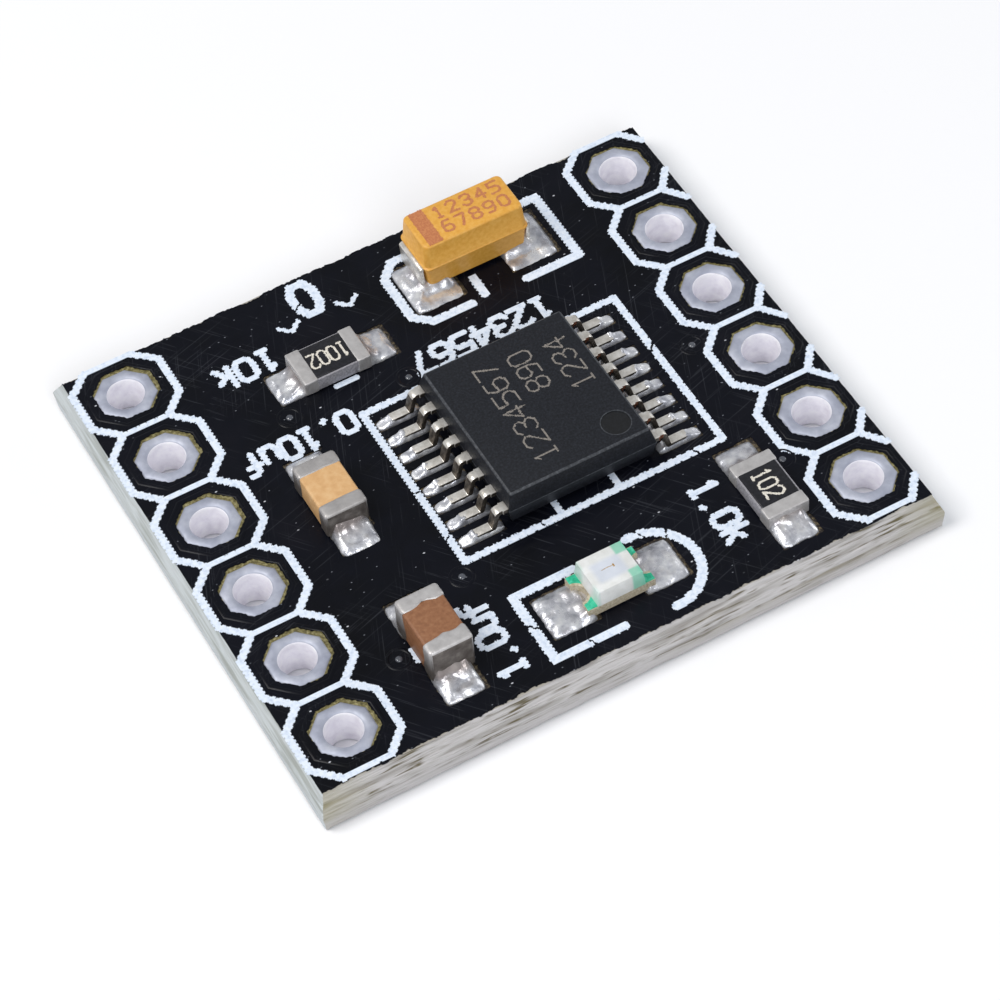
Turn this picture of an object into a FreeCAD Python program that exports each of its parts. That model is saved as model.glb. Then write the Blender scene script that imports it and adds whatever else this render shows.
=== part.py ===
import FreeCAD, Part
import math
import os
import re
import Sketcher

# A small motor driver board: a scored glass-epoxy board with two rows of plated pin holes,
# one driver chip with gull-wing leads, a moulded capacitor, a lamp, two resistors and two
# ceramic capacitors. The origin is on the underside, at the middle of the outline, +X to
# the right, +Y to the back edge and +Z up. Millimetres.

# Each row is a cell's alias, its value and what it is.
SIZES = [
    ("row_gap", "15.24", "between the two rows of pin holes"),
    ("pin_pitch", "2.54", "between the holes of a row"),
    ("pins_per_row", "6", "holes in a row"),
    ("side_margin", "1.255", "top face beyond a row's middle, left and right"),
    ("end_margin", "1.335", "top face beyond a row's last hole, front and back"),
    ("row_shift_side", "0.075", "hole rows off the board's middle, to the right"),
    ("row_shift_back", "0.085", "hole rows off the board's middle, to the back"),
    ("board_thick", "1.2", "over the copper on both faces"),
    ("copper_thick", "0.04", "tinned copper on the laminate"),
    ("mask_thick", "0.03", "solder mask on the laminate"),
    ("web_side", "0.22", "snapped web beyond the top face, left and right"),
    ("web_end", "0.33", "snapped web beyond the top face, front and back"),
    ("foot_side", "0.17", "lower face beyond the top face, left and right"),
    ("foot_end", "0.29", "lower face beyond the top face, front and back"),
    ("web_height", "0.62", "widest line of the snapped edge above the underside"),
    ("hole_radius", "0.5", "finished pin hole"),
    ("plate_wall", "0.03", "copper barrel wall"),
    ("pad_across", "1.62", "octagonal pad across its flats"),
    ("mask_gap", "0.06", "mask opening beyond the copper, each side"),
    ("ink_thick", "0.015", "legend ink on the mask"),
    ("ink_line", "0.25", "legend line"),
    ("ink_thin", "0.17", "thin legend line"),
    ("ink_edge", "0.03", "bare mask between the ink and the board's edge"),
    ("octagon_over", "0.06", "legend octagon wider than the margins on both sides of a row"),
    ("octagon_cut", "0.61", "legend octagon's cut corner"),
    ("chip_at_x", "1.275", "chip centre"),
    ("chip_at_y", "-0.43", "chip centre"),
    ("chip_width", "4.4", "moulded body, left to right"),
    ("chip_length", "5.0", "moulded body, front to back"),
    ("chip_height", "1.05", "moulded body"),
    ("chip_lift", "0.1", "air under the moulded body"),
    ("chip_top_in", "0.13", "draft of the upper half, each side"),
    ("chip_foot_in", "0.1", "draft of the lower half, each side"),
    ("dimple_radius", "0.4", "pin-one dimple"),
    ("dimple_depth", "0.03", "pin-one dimple"),
    ("dimple_edge", "0.77", "pin-one dimple's centre from the body's two edges"),
    ("leads_per_side", "8", "leads on each long side"),
    ("lead_pitch", "0.65", "between leads"),
    ("lead_width", "0.25", "lead"),
    ("lead_thick", "0.15", "lead"),
    ("lead_shoulder", "0.2", "flat shoulder out of the body"),
    ("lead_run", "0.2", "how far the lead's slope runs outwards"),
    ("lead_foot", "0.6", "flat foot on the land"),
    ("lead_bend", "0.2", "outer radius of the bend at the shoulder"),
    ("lead_heel", "0.08", "flat that takes the corner off the heel"),
    ("chip_land_long", "1.3", "land under a lead"),
    ("chip_land_wide", "0.4", "land under a lead"),
    ("chip_land_toe", "0.4", "land beyond a lead's toe"),
    ("joint_height", "0.13", "solder at a lead's toe"),
    ("joint_slope", "0.1", "solder drawn in towards its top, front and back"),
    ("joint_crown", "0.25", "share of the land beyond the toe that the solder's top covers"),
    ("frame_gap_side", "0.25", "middle of the chip's legend frame off its lands, left and right"),
    ("frame_gap_end", "0.38", "middle of the chip's legend frame off its lands, front and back"),
    ("chip_frame_shift", "0.12", "legend frame's middle right of the chip's"),
    ("tick_one_x", "-0.85", "tick on the frame, from the chip's middle"),
    ("tick_two_x", "0.88", "tick on the frame, from the chip's middle"),
    ("tick_long", "0.63", "tick on the frame"),
    ("small_long", "2.0", "small two-terminal part, over its terminals"),
    ("small_wide", "1.25", "small two-terminal part"),
    ("small_pair", "3.55", "over the outer ends of its two lands"),
    ("small_land_long", "1.1", "one of its lands"),
    ("small_land_wide", "1.12", "one of its lands"),
    ("coat_in", "0.06", "resistor coat in from the ceramic's edge"),
    ("end_thick", "0.05", "plated end of a small part"),
    ("end_band", "0.42", "plated band on a small part"),
    ("edge_worn", "0.07", "broken edge of a ceramic capacitor's plated end"),
    ("resistor_height", "0.5", "resistor"),
    ("left_resistor_x", "-2.4", "land pair's middle"),
    ("left_resistor_y", "4.37", "land pair's middle"),
    ("right_resistor_x", "5.25", "land pair's middle"),
    ("right_resistor_y", "-5.45", "land pair's middle"),
    ("middle_cap_x", "-4.5", "land pair's middle"),
    ("middle_cap_y", "0.21", "land pair's middle"),
    ("middle_cap_high", "0.9", "middle ceramic capacitor"),
    ("front_cap_x", "-4.42", "land pair's middle"),
    ("front_cap_y", "-5.25", "land pair's middle"),
    ("front_cap_high", "1.25", "front ceramic capacitor"),
    ("lamp_x", "0.29", "land pair's middle"),
    ("lamp_y", "-5.96", "land pair's middle"),
    ("lamp_pair", "4.0", "over the outer ends of the lamp's lands"),
    ("lamp_land_long", "1.3", "one of the lamp's lands"),
    ("lamp_land_wide", "1.4", "one of the lamp's lands"),
    ("lamp_base_high", "0.35", "lamp's base with its plated ends"),
    ("lens_long", "1.4", "lens on the base"),
    ("lens_high", "0.5", "lens above the base"),
    ("lens_draft", "0.05", "lens drawn in at its top, each side"),
    ("lamp_frame_side", "0.28", "middle of the lamp's legend line off its left land"),
    ("lamp_frame_end", "0.42", "middle of the lamp's legend line off its lands, front and back"),
    ("lamp_frame_long", "1.75", "legend lines in front of the lamp and behind it"),
    ("lamp_frame_front", "0.09", "legend round the lamp set forward"),
    ("lamp_arc_radius", "1.25", "legend arc at the lamp's right end"),
    ("lamp_arc_x", "1.31", "centre of that arc right of the lamp's middle"),
    ("tantalum_x", "2.65", "land pair's middle"),
    ("tantalum_y", "5.59", "land pair's middle"),
    ("tantalum_back", "0.43", "body set back from the middle of its lands"),
    ("tantalum_long", "3.2", "moulded body at its parting line"),
    ("tantalum_wide", "1.6", "moulded body at its parting line"),
    ("tantalum_high", "1.55", "moulded body"),
    ("tantalum_belt", "0.72", "parting line above the body's underside"),
    ("belt_thick", "0.05", "parting line's flat"),
    ("tantalum_top_in", "0.12", "draft of the upper half, each side"),
    ("tantalum_foot_in", "0.1", "draft of the lower half, each side"),
    ("tantalum_pair", "4.39", "over the outer ends of its lands"),
    ("tantalum_land_long", "1.46", "one of its lands"),
    ("tantalum_land_wide", "1.78", "one of its lands"),
    ("tantalum_frame_side", "0.29", "middle of its legend line off its lands, left and right"),
    ("tantalum_frame_end", "0.35", "middle of its legend line off its lands, front and back"),
    ("tantalum_frame_shift", "0.095", "its legend's middle right of its lands'"),
    ("tantalum_frame_front", "0.05", "its legend set forward"),
    ("tantalum_frame_cut", "0.22", "cut corner at its positive end"),
    ("tantalum_frame_open", "1.71", "gap between its two legend brackets"),
    ("tantalum_tick_x", "-0.29", "tick in that gap, from the middle of its lands"),
    ("tantalum_tick_long", "0.7", "tick in that gap"),
    ("strap_thick", "0.12", "terminal strap"),
    ("strap_wide", "1.2", "terminal strap"),
    ("strap_under", "0.8", "strap folded under the body"),
    ("cove_rise", "0.62", "solder up a plated end, as a share of its height"),
    ("cove_toe", "0.06", "solder's edge at the outer end of a land"),
]

# One name ties a property of an object to a rule made of cell aliases.
PLACES = {"x": "Placement.Base.x", "y": "Placement.Base.y", "z": "Placement.Base.z"}
NAMES = {alias for alias, _, _ in SIZES}

doc = FreeCAD.newDocument("MotorDriverBoard")
sheet = doc.addObject("Spreadsheet::Sheet", "Sizes")
for row, (alias, value, note) in enumerate(SIZES, start=1):
    sheet.set(f"A{row}", alias)
    sheet.set(f"B{row}", value)
    sheet.setAlias(f"B{row}", alias)
    sheet.set(f"C{row}", note)
doc.recompute()

# Every finished sub-part, in the order in which it is written.
FINISHED = []


def linked(rule):
    """A rule in cell aliases as an expression that reads the sheet."""
    return re.sub(r"[a-z_]+", lambda word: f"Sizes.{word[0]}" if word[0] in NAMES else word[0], rule)


def bind(item, **rules):
    """Ties properties to the sheet."""
    for name, rule in rules.items():
        item.setExpression(PLACES.get(name, name), linked(rule))
    return item


def finish(item, label):
    """Names a finished sub-part after its file."""
    item.Label = label
    FINISHED.append(item)
    return item


def block(name, x, y, z, long, wide, high):
    """A box with its middle over x, y and its underside at z."""
    item = doc.addObject("Part::Box", name)
    return bind(item, Length=long, Width=wide, Height=high,
                x=f"{x} - ({long}) / 2", y=f"{y} - ({wide}) / 2", z=z)


def post(name, x, y, z, radius, high):
    """An upright cylinder."""
    item = doc.addObject("Part::Cylinder", name)
    return bind(item, Radius=radius, Height=high, x=x, y=y, z=z)


def octagon(name, x, y, z, across, high):
    """An upright octagonal prism with flats to the front, back and sides."""
    item = doc.addObject("Part::Prism", name)
    item.Polygon = 8
    item.Placement.Rotation = FreeCAD.Rotation(FreeCAD.Vector(0, 0, 1), 22.5)
    return bind(item, Circumradius=f"({across}) / 2 / cos(22.5 deg)", Height=high, x=x, y=y, z=z)


def shape_wedge(item, x, y, z, low, top, high):
    """Stands a wedge upright on z and centres its foot and its top over x, y."""
    item.Placement.Rotation = FreeCAD.Rotation(FreeCAD.Vector(1, 0, 0), 90)
    return bind(item, Xmin=f"-({low[0]}) / 2", Xmax=f"({low[0]}) / 2",
                Zmin=f"-({low[1]}) / 2", Zmax=f"({low[1]}) / 2",
                X2min=f"-({top[0]}) / 2", X2max=f"({top[0]}) / 2",
                Z2min=f"-({top[1]}) / 2", Z2max=f"({top[1]}) / 2",
                Ymin="0", Ymax=high, x=x, y=y, z=z)


def taper(name, x, y, z, low, top, high):
    """A block whose top differs from its foot; low and top are (long, wide)."""
    return shape_wedge(doc.addObject("Part::Wedge", name), x, y, z, low, top, high)


def cut(name, base, tool):
    item = doc.addObject("Part::Cut", name)
    item.Base = base
    item.Tool = tool
    return item


def common(name, base, tool):
    item = doc.addObject("Part::Common", name)
    item.Base = base
    item.Tool = tool
    return item


def fuse(name, pieces):
    item = doc.addObject("Part::MultiFuse", name)
    item.Shapes = pieces
    item.Refine = True
    return item


def group(name, pieces):
    """Separate solids that share one file."""
    item = doc.addObject("Part::Compound", name)
    item.Links = pieces
    return item


def edges_broken(name, base, size):
    """A box with all its edges broken by the same small flat."""
    item = doc.addObject("Part::Chamfer", name)
    item.Base = base
    item.Edges = [(edge, sheet.get(size), sheet.get(size)) for edge in range(1, 13)]
    return item


def new_body(name, x, y, z, turn=0):
    """A body at its place, turned about the upright axis by whole quarter turns."""
    body = doc.addObject("PartDesign::Body", name)
    body.Placement.Rotation = FreeCAD.Rotation(FreeCAD.Vector(0, 0, 1), turn)
    return bind(body, x=x, y=y, z=z)


def outline(body, name, role, corners):
    """A closed sketch of straight lines; every corner is tied by a rule across and one along."""
    plane = next(f for f in body.Origin.OriginFeatures if f.Role == role)
    sketch = body.newObject("Sketcher::SketchObject", name)
    sketch.AttachmentSupport = [(plane, "")]
    sketch.MapMode = "FlatFace"
    count = len(corners)
    spots = [FreeCAD.Vector(math.cos(2 * math.pi * i / count), math.sin(2 * math.pi * i / count), 0)
             for i in range(count)]
    sketch.addGeometry([Part.LineSegment(spots[i], spots[(i + 1) % count]) for i in range(count)])
    sketch.addConstraint([Sketcher.Constraint("Coincident", i, 2, (i + 1) % count, 1)
                          for i in range(count)])
    for i, (across, along) in enumerate(corners):
        for kind, rule, start in (("DistanceX", across, spots[i].x), ("DistanceY", along, spots[i].y)):
            index = sketch.addConstraint(Sketcher.Constraint(kind, -1, 1, i, 1, start))
            sketch.setExpression(f"Constraints[{index}]", linked(rule))
    return sketch


def pad_both_ways(body, name, sketch, width):
    """A pad that grows by half its width to each side of the sketch."""
    pad = body.newObject("PartDesign::Pad", name)
    pad.Profile = sketch
    pad.SideType = "Symmetric"
    return bind(pad, Length=width)


def drafted(body, name, z, low, top, high):
    """A drafted block that joins a body; low and top are (long, wide)."""
    return shape_wedge(body.newObject("PartDesign::AdditiveWedge", name), "0", "0", z, low, top, high)


# Places that several pieces share.
PINS = int(sheet.get("pins_per_row"))
LEADS = int(sheet.get("leads_per_side"))
TOP = "board_thick"
LAMINATE_TOP = "board_thick - copper_thick"
MASK_TOP = "board_thick - copper_thick + mask_thick"
ROWS = {"left": "row_shift_side - row_gap / 2", "right": "row_shift_side + row_gap / 2"}


def pin_y(index):
    """A hole's place along its row, counted from the front."""
    return f"row_shift_back + pin_pitch * ({index} - (pins_per_row - 1) / 2)"


# The board: two drafted blocks meet at the snapped web, and one drilled pair of holes is
# repeated along the rows.
WIDE = "(row_gap + 2 * side_margin)"
LONG = "(pin_pitch * (pins_per_row - 1) + 2 * end_margin)"
LOWER_FACE = (f"{WIDE} + 2 * foot_side", f"{LONG} + 2 * foot_end")
WEB = (f"{WIDE} + 2 * web_side", f"{LONG} + 2 * web_end")
UPPER_FACE = (WIDE, LONG)
laminate = new_body("substrate", "0", "0", "copper_thick")
drafted(laminate, "LowerEdge", "0", LOWER_FACE, WEB, "web_height - copper_thick")
drafted(laminate, "UpperEdge", "web_height - copper_thick", WEB, UPPER_FACE,
        "board_thick - copper_thick - web_height")
doc.recompute()

drill = laminate.newObject("Sketcher::SketchObject", "DrillPair")
drill.AttachmentSupport = [(next(f for f in laminate.Origin.OriginFeatures if f.Role == "XY_Plane"), "")]
drill.MapMode = "FlatFace"
for number, centre_x in enumerate(ROWS.values()):
    drill.addGeometry(Part.Circle(FreeCAD.Vector(number * 4 - 2, 1, 0), FreeCAD.Vector(0, 0, 1), 0.5))
    for kind, point, rule in (("DistanceX", 3, centre_x), ("DistanceY", 3, pin_y(0))):
        at = drill.addConstraint(Sketcher.Constraint(kind, -1, 1, number, point, 1.0))
        drill.setExpression(f"Constraints[{at}]", linked(rule))
    at = drill.addConstraint(Sketcher.Constraint("Radius", number, 0.5))
    drill.setExpression(f"Constraints[{at}]", linked("hole_radius + plate_wall"))
holes = laminate.newObject("PartDesign::Pocket", "PinHoles")
holes.Profile = drill
holes.Type = "ThroughAll"
holes.Reversed = True
doc.recompute()
row_of_holes = laminate.newObject("PartDesign::LinearPattern", "HoleRow")
row_of_holes.Originals = [holes]
row_of_holes.Direction = (drill, ["V_Axis"])
row_of_holes.Occurrences = PINS
bind(row_of_holes, Length="pin_pitch * (pins_per_row - 1)")
laminate.Tip = row_of_holes
finish(laminate, "substrate")

# Lands of the chip and of the two-terminal parts, each a rule for its middle and its size.
REACH = "(lead_shoulder + lead_run + lead_foot)"
LEAD_SPAN = f"(chip_width + 2 * {REACH})"
LAND_SPAN = f"({LEAD_SPAN} + 2 * chip_land_toe)"
CHIP_LANDS = []
for side, way in (("left", "-"), ("right", "+")):
    for index in range(LEADS):
        middle_y = f"chip_at_y + lead_pitch * ({index} - (leads_per_side - 1) / 2)"
        middle_x = f"chip_at_x {way} ({LAND_SPAN} - chip_land_long) / 2"
        CHIP_LANDS.append((side, index, middle_x, middle_y))

# Each part: name, middle of its lands, whether it lies along X, and its pair and land sizes.
PARTS = [
    ("left_resistor", "left_resistor_x", "left_resistor_y", True,
     "small_pair", "small_land_long", "small_land_wide"),
    ("right_resistor", "right_resistor_x", "right_resistor_y", False,
     "small_pair", "small_land_long", "small_land_wide"),
    ("middle_capacitor", "middle_cap_x", "middle_cap_y", False,
     "small_pair", "small_land_long", "small_land_wide"),
    ("front_capacitor", "front_cap_x", "front_cap_y", False,
     "small_pair", "small_land_long", "small_land_wide"),
    ("led", "lamp_x", "lamp_y", True, "lamp_pair", "lamp_land_long", "lamp_land_wide"),
    ("tantalum", "tantalum_x", "tantalum_y", True,
     "tantalum_pair", "tantalum_land_long", "tantalum_land_wide"),
]
PART_LANDS = []
for name, x, y, lies_along_x, pair, land_long, land_wide in PARTS:
    for way in ("-", "+"):
        offset = f"({pair} - {land_long}) / 2"
        if lies_along_x:
            PART_LANDS.append((name, way, f"{x} {way} {offset}", y, land_long, land_wide))
        else:
            PART_LANDS.append((name, way, x, f"{y} {way} {offset}", land_wide, land_long))


# The two masks: a skin with an opening over each pad, and on top one over each land.
def mask(name, z, long, wide, with_lands):
    skin = block(f"{name}_skin", "0", "0", z, long, wide, "mask_thick")
    openings = []
    for side, x in ROWS.items():
        for index in range(PINS):
            openings.append(octagon(f"{name}_opening_{side}_{index}", x, pin_y(index), z,
                                    "pad_across + 2 * mask_gap", "mask_thick"))
    if with_lands:
        for side, index, x, y in CHIP_LANDS:
            openings.append(block(f"{name}_slot_{side}_{index}", x, y, z,
                                  "chip_land_long + 2 * mask_gap", "chip_land_wide + mask_gap",
                                  "mask_thick"))
        for part_name, way, x, y, long_x, long_y in PART_LANDS:
            side = "low" if way == "-" else "high"
            openings.append(block(f"{name}_window_{part_name}_{side}", x, y, z,
                                  f"{long_x} + 2 * mask_gap", f"{long_y} + 2 * mask_gap",
                                  "mask_thick"))
    return finish(cut(name, skin, group(f"{name}_openings", openings)), name)


mask("solder_mask_top", LAMINATE_TOP, *UPPER_FACE, True)
mask("solder_mask_bottom", "copper_thick - mask_thick", *LOWER_FACE, False)


# Each plated hole is one piece: a pad on both faces and the barrel between them.
def plated_hole(name, x, y):
    upper = octagon(f"{name}_upper_pad", x, y, LAMINATE_TOP, "pad_across", "copper_thick")
    lower = octagon(f"{name}_lower_pad", x, y, "0", "pad_across", "copper_thick")
    barrel = post(f"{name}_barrel", x, y, "0", "hole_radius + plate_wall", "board_thick")
    bore = post(f"{name}_bore", x, y, "0", "hole_radius", "board_thick")
    finish(cut(name, fuse(f"{name}_copper", [upper, lower, barrel]), bore), name)


for side, x in ROWS.items():
    for index in range(PINS):
        plated_hole(f"pin_hole_{side}_{index + 1}", x, pin_y(index))


# White legend: a chain of octagons down each row, and frames round the parts.
def ink_bar(name, x, y, long, wide):
    return block(f"ink_{name}", x, y, MASK_TOP, long, wide, "ink_thick")


def cut_cornered(name, x, y, long, wide, corner):
    """A flat plate of ink with its four corners cut at 45 degrees."""
    body = new_body(name, x, y, MASK_TOP)
    right, back = f"({long}) / 2", f"({wide}) / 2"
    corners = [(f"-{right} + {corner}", f"-{back}"), (f"{right} - {corner}", f"-{back}"),
               (right, f"-{back} + {corner}"), (right, f"{back} - {corner}"),
               (f"{right} - {corner}", back), (f"-{right} + {corner}", back),
               (f"-{right}", f"{back} - {corner}"), (f"-{right}", f"-{back} + {corner}")]
    pad = body.newObject("PartDesign::Pad", f"{name}_pad")
    pad.Profile = outline(body, f"{name}_outline", "XY_Plane", corners)
    bind(pad, Length="ink_thick")
    return body


# The 45 degree sides keep the line's full width where the corner cuts differ by this share.
LINE_SHARE = "(2 - sqrt(2))"
OCTAGON = "2 * side_margin + octagon_over"
frames = []
for side, x in ROWS.items():
    outer_plates, inner_plates = [], []
    for index in range(PINS):
        outer_plates.append(cut_cornered(f"ink_outer_{side}_{index}", x, pin_y(index),
                                         f"{OCTAGON} + ink_line", "pin_pitch + ink_thin",
                                         f"octagon_cut + ink_line / 2 * {LINE_SHARE}"))
        inner_plates.append(cut_cornered(f"ink_inner_{side}_{index}", x, pin_y(index),
                                         f"{OCTAGON} - ink_line", "pin_pitch - ink_thin",
                                         f"octagon_cut - ink_line / 2 * {LINE_SHARE}"))
    chain = cut(f"ink_chain_{side}", fuse(f"ink_plates_{side}", outer_plates),
                group(f"ink_eyes_{side}", inner_plates))
    frames.append(chain)

FRAME_X = "chip_at_x + chip_frame_shift"
FRAME_WIDE = f"{LAND_SPAN} + 2 * frame_gap_side"
FRAME_LONG = "(lead_pitch * (leads_per_side - 1) + chip_land_wide + 2 * frame_gap_end)"
frame_outer = ink_bar("chip_outer", FRAME_X, "chip_at_y", f"{FRAME_WIDE} + ink_thin",
                      f"{FRAME_LONG} + ink_thin")
frame_inner = ink_bar("chip_inner", FRAME_X, "chip_at_y", f"{FRAME_WIDE} - ink_thin",
                      f"{FRAME_LONG} - ink_thin")
frames.append(cut("ink_chip_frame", frame_outer, frame_inner))
for number, tick_x in enumerate(("tick_one_x", "tick_two_x")):
    frames.append(ink_bar(f"tick_{number}", f"chip_at_x + {tick_x}",
                          f"chip_at_y - {FRAME_LONG} / 2 + tick_long / 2", "ink_thin", "tick_long"))

# The lamp stands between an open bracket on its left and an arc on its right.
LAMP_HALF = "(lamp_land_wide / 2 + lamp_frame_end)"
LAMP_FRAME_X = "lamp_x - lamp_pair / 2 - lamp_frame_side"
LAMP_FRAME_Y = "lamp_y - lamp_frame_front"
frames.append(ink_bar("lamp_side", LAMP_FRAME_X, LAMP_FRAME_Y, "ink_line",
                      f"2 * {LAMP_HALF} + ink_line"))
for end, way in (("front", "-"), ("back", "+")):
    frames.append(ink_bar(f"lamp_{end}", f"{LAMP_FRAME_X} + lamp_frame_long / 2",
                          f"{LAMP_FRAME_Y} {way} {LAMP_HALF}", "lamp_frame_long", "ink_line"))
ARC_X = "lamp_x + lamp_arc_x"
arc_outer = post("ink_arc_outer", ARC_X, LAMP_FRAME_Y, MASK_TOP,
                 "lamp_arc_radius + ink_line / 2", "ink_thick")
arc_inner = post("ink_arc_inner", ARC_X, LAMP_FRAME_Y, MASK_TOP,
                 "lamp_arc_radius - ink_line / 2", "ink_thick")
arc_keep = ink_bar("arc_keep", f"{ARC_X} + lamp_arc_radius", LAMP_FRAME_Y,
                   "2 * lamp_arc_radius", "3 * lamp_arc_radius")
frames.append(common("ink_lamp_arc", cut("ink_lamp_ring", arc_outer, arc_inner), arc_keep))

# The moulded capacitor stands between two brackets; the one at its positive end has cut corners.
CASE_X = "tantalum_x + tantalum_frame_shift"
CASE_Y = "tantalum_y - tantalum_frame_front"
CASE_LONG = "(tantalum_pair + 2 * tantalum_frame_side)"
CASE_WIDE = "(tantalum_land_wide + 2 * tantalum_frame_end)"
cornered = cut("ink_case_cornered",
               cut_cornered("ink_case_left_outer", CASE_X, CASE_Y, f"{CASE_LONG} + ink_line",
                            f"{CASE_WIDE} + ink_line", f"tantalum_frame_cut + ink_line / 2 * {LINE_SHARE}"),
               cut_cornered("ink_case_left_inner", CASE_X, CASE_Y, f"{CASE_LONG} - ink_line",
                            f"{CASE_WIDE} - ink_line", f"tantalum_frame_cut - ink_line / 2 * {LINE_SHARE}"))
square = cut("ink_case_square",
             ink_bar("case_right_outer", CASE_X, CASE_Y, f"{CASE_LONG} + ink_line",
                     f"{CASE_WIDE} + ink_line"),
             ink_bar("case_right_inner", CASE_X, CASE_Y, f"{CASE_LONG} - ink_line",
                     f"{CASE_WIDE} - ink_line"))
for end, way, plate in (("left", "-", cornered), ("right", "+", square)):
    keep = ink_bar(f"case_keep_{end}", f"{CASE_X} {way} (tantalum_frame_open + {CASE_LONG}) / 2",
                   CASE_Y, CASE_LONG, f"2 * {CASE_WIDE}")
    frames.append(common(f"ink_case_{end}", plate, keep))
frames.append(ink_bar("case_tick", "tantalum_x + tantalum_tick_x",
                      f"{CASE_Y} - {CASE_WIDE} / 2 + ink_line + tantalum_tick_long / 2",
                      "ink_line", "tantalum_tick_long"))

inside_edge = block("ink_limit", "0", "0", MASK_TOP, f"{WIDE} - 2 * ink_edge",
                    f"{LONG} - 2 * ink_edge", "ink_thick")
finish(common("legend_ink", fuse("ink_all", frames), inside_edge), "legend_ink")

# The chip: drafted blocks above and below the plane in which its leads leave the moulding.
PARTING = "chip_height / 2"
CHIP_BELT = ("chip_width", "chip_length")
chip = new_body("chip_body", "chip_at_x", "chip_at_y", "board_thick + chip_lift")
drafted(chip, "ChipLower", "0", ("chip_width - 2 * chip_foot_in", "chip_length - 2 * chip_foot_in"),
        CHIP_BELT, PARTING)
drafted(chip, "ChipUpper", PARTING, CHIP_BELT,
        ("chip_width - 2 * chip_top_in", "chip_length - 2 * chip_top_in"), PARTING)
doc.recompute()
dimple = chip.newObject("Sketcher::SketchObject", "DimpleOutline")
dimple.AttachmentSupport = [(next(f for f in chip.Origin.OriginFeatures if f.Role == "XY_Plane"), "")]
dimple.MapMode = "FlatFace"
bind(dimple, **{"AttachmentOffset.Base.z": "chip_height"})
dimple.addGeometry(Part.Circle(FreeCAD.Vector(1.4, -1.7, 0), FreeCAD.Vector(0, 0, 1), 0.4))
for kind, rule, start in (("DistanceX", "chip_width / 2 - dimple_edge", 1.4),
                          ("DistanceY", "dimple_edge - chip_length / 2", -1.7)):
    at = dimple.addConstraint(Sketcher.Constraint(kind, -1, 1, 0, 3, start))
    dimple.setExpression(f"Constraints[{at}]", linked(rule))
at = dimple.addConstraint(Sketcher.Constraint("Radius", 0, 0.4))
dimple.setExpression(f"Constraints[{at}]", linked("dimple_radius"))
dimple_pocket = chip.newObject("PartDesign::Pocket", "Dimple")
dimple_pocket.Profile = dimple
bind(dimple_pocket, Length="dimple_depth")
finish(chip, "chip_body")

# A gull-wing lead, drawn from the side: shoulder, slope, heel and foot, then its bend rounded.
SHOULDER = "chip_lift + chip_height / 2 - lead_thick / 2"
LEAD_PROFILE = [
    ("0", SHOULDER),
    ("lead_shoulder", SHOULDER),
    (f"lead_shoulder + lead_run - lead_run * lead_heel / ({SHOULDER})", "lead_heel"),
    ("lead_shoulder + lead_run + lead_heel", "0"),
    (REACH, "0"),
    (REACH, "lead_thick"),
    ("lead_shoulder + lead_run + lead_thick * 0.6", "lead_thick"),
    ("lead_shoulder + lead_thick * 0.6", f"{SHOULDER} + lead_thick"),
    ("0", f"{SHOULDER} + lead_thick"),
]


def bend_edge(shape):
    """The edge across a lead at the top of its bend, away from the body's face."""
    box = shape.BoundBox
    for number, edge in enumerate(shape.Edges, start=1):
        middle = edge.CenterOfMass
        across = abs(edge.Vertexes[0].Y - edge.Vertexes[-1].Y) > 1e-6
        if across and middle.x > box.XMin + 1e-6 and abs(middle.z - box.ZMax) < 1e-6:
            return f"Edge{number}"
    raise RuntimeError("a lead has no bend at its top")


def gull_wing(name, x, y, turn):
    body = new_body(name, x, y, TOP, turn)
    profile = outline(body, f"{name}_profile", "XZ_Plane", LEAD_PROFILE)
    pad = pad_both_ways(body, f"{name}_strip", profile, "lead_width")
    doc.recompute()
    bend = body.newObject("PartDesign::Fillet", f"{name}_bend")
    bend.Base = (pad, [bend_edge(pad.Shape)])
    bind(bend, Radius="lead_bend")
    body.Tip = bend
    return finish(body, name)


for side, way, turn in (("left", "-", 180), ("right", "+", 0)):
    for index in range(LEADS):
        # Counted from the dimple, up its own side and back down the other.
        number = index + 1 if side == "right" else 2 * LEADS - index
        y = f"chip_at_y + lead_pitch * ({index} - (leads_per_side - 1) / 2)"
        gull_wing(f"chip_lead_{number:02d}", f"chip_at_x {way} chip_width / 2", y, turn)

# Lands fill their mask openings less the gap, and solder mounds up at each lead's toe.
chip_lands = [block(f"land_{side}_{index}", x, y, LAMINATE_TOP, "chip_land_long", "chip_land_wide",
                    "copper_thick") for side, index, x, y in CHIP_LANDS]
finish(group("chip_lands", chip_lands), "chip_lands")
part_lands = [block(f"land_{name}_{'low' if way == '-' else 'high'}", x, y, LAMINATE_TOP,
                    long_x, long_y, "copper_thick")
              for name, way, x, y, long_x, long_y in PART_LANDS]
finish(group("part_lands", part_lands), "part_lands")

joints = []
for side, index, x, y in CHIP_LANDS:
    # The mound starts upright against the lead's toe and falls away to the other three sides.
    mound = taper(f"joint_{side}_{index}", x, y, TOP, ("0", "chip_land_wide"),
                  ("0", "chip_land_wide - 2 * joint_slope"), "joint_height")
    way = "-" if side == "left" else "+"
    bind(mound, x=f"chip_at_x {way} {LEAD_SPAN} / 2")
    outer, inner = ("min", "max") if side == "left" else ("max", "min")
    bind(mound, **{f"X{outer}": f"{way}chip_land_toe", f"X2{outer}": f"{way}chip_land_toe * joint_crown",
                   f"X{inner}": "0", f"X2{inner}": "0"})
    joints.append(mound)
finish(group("chip_solder", joints), "chip_solder")


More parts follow.
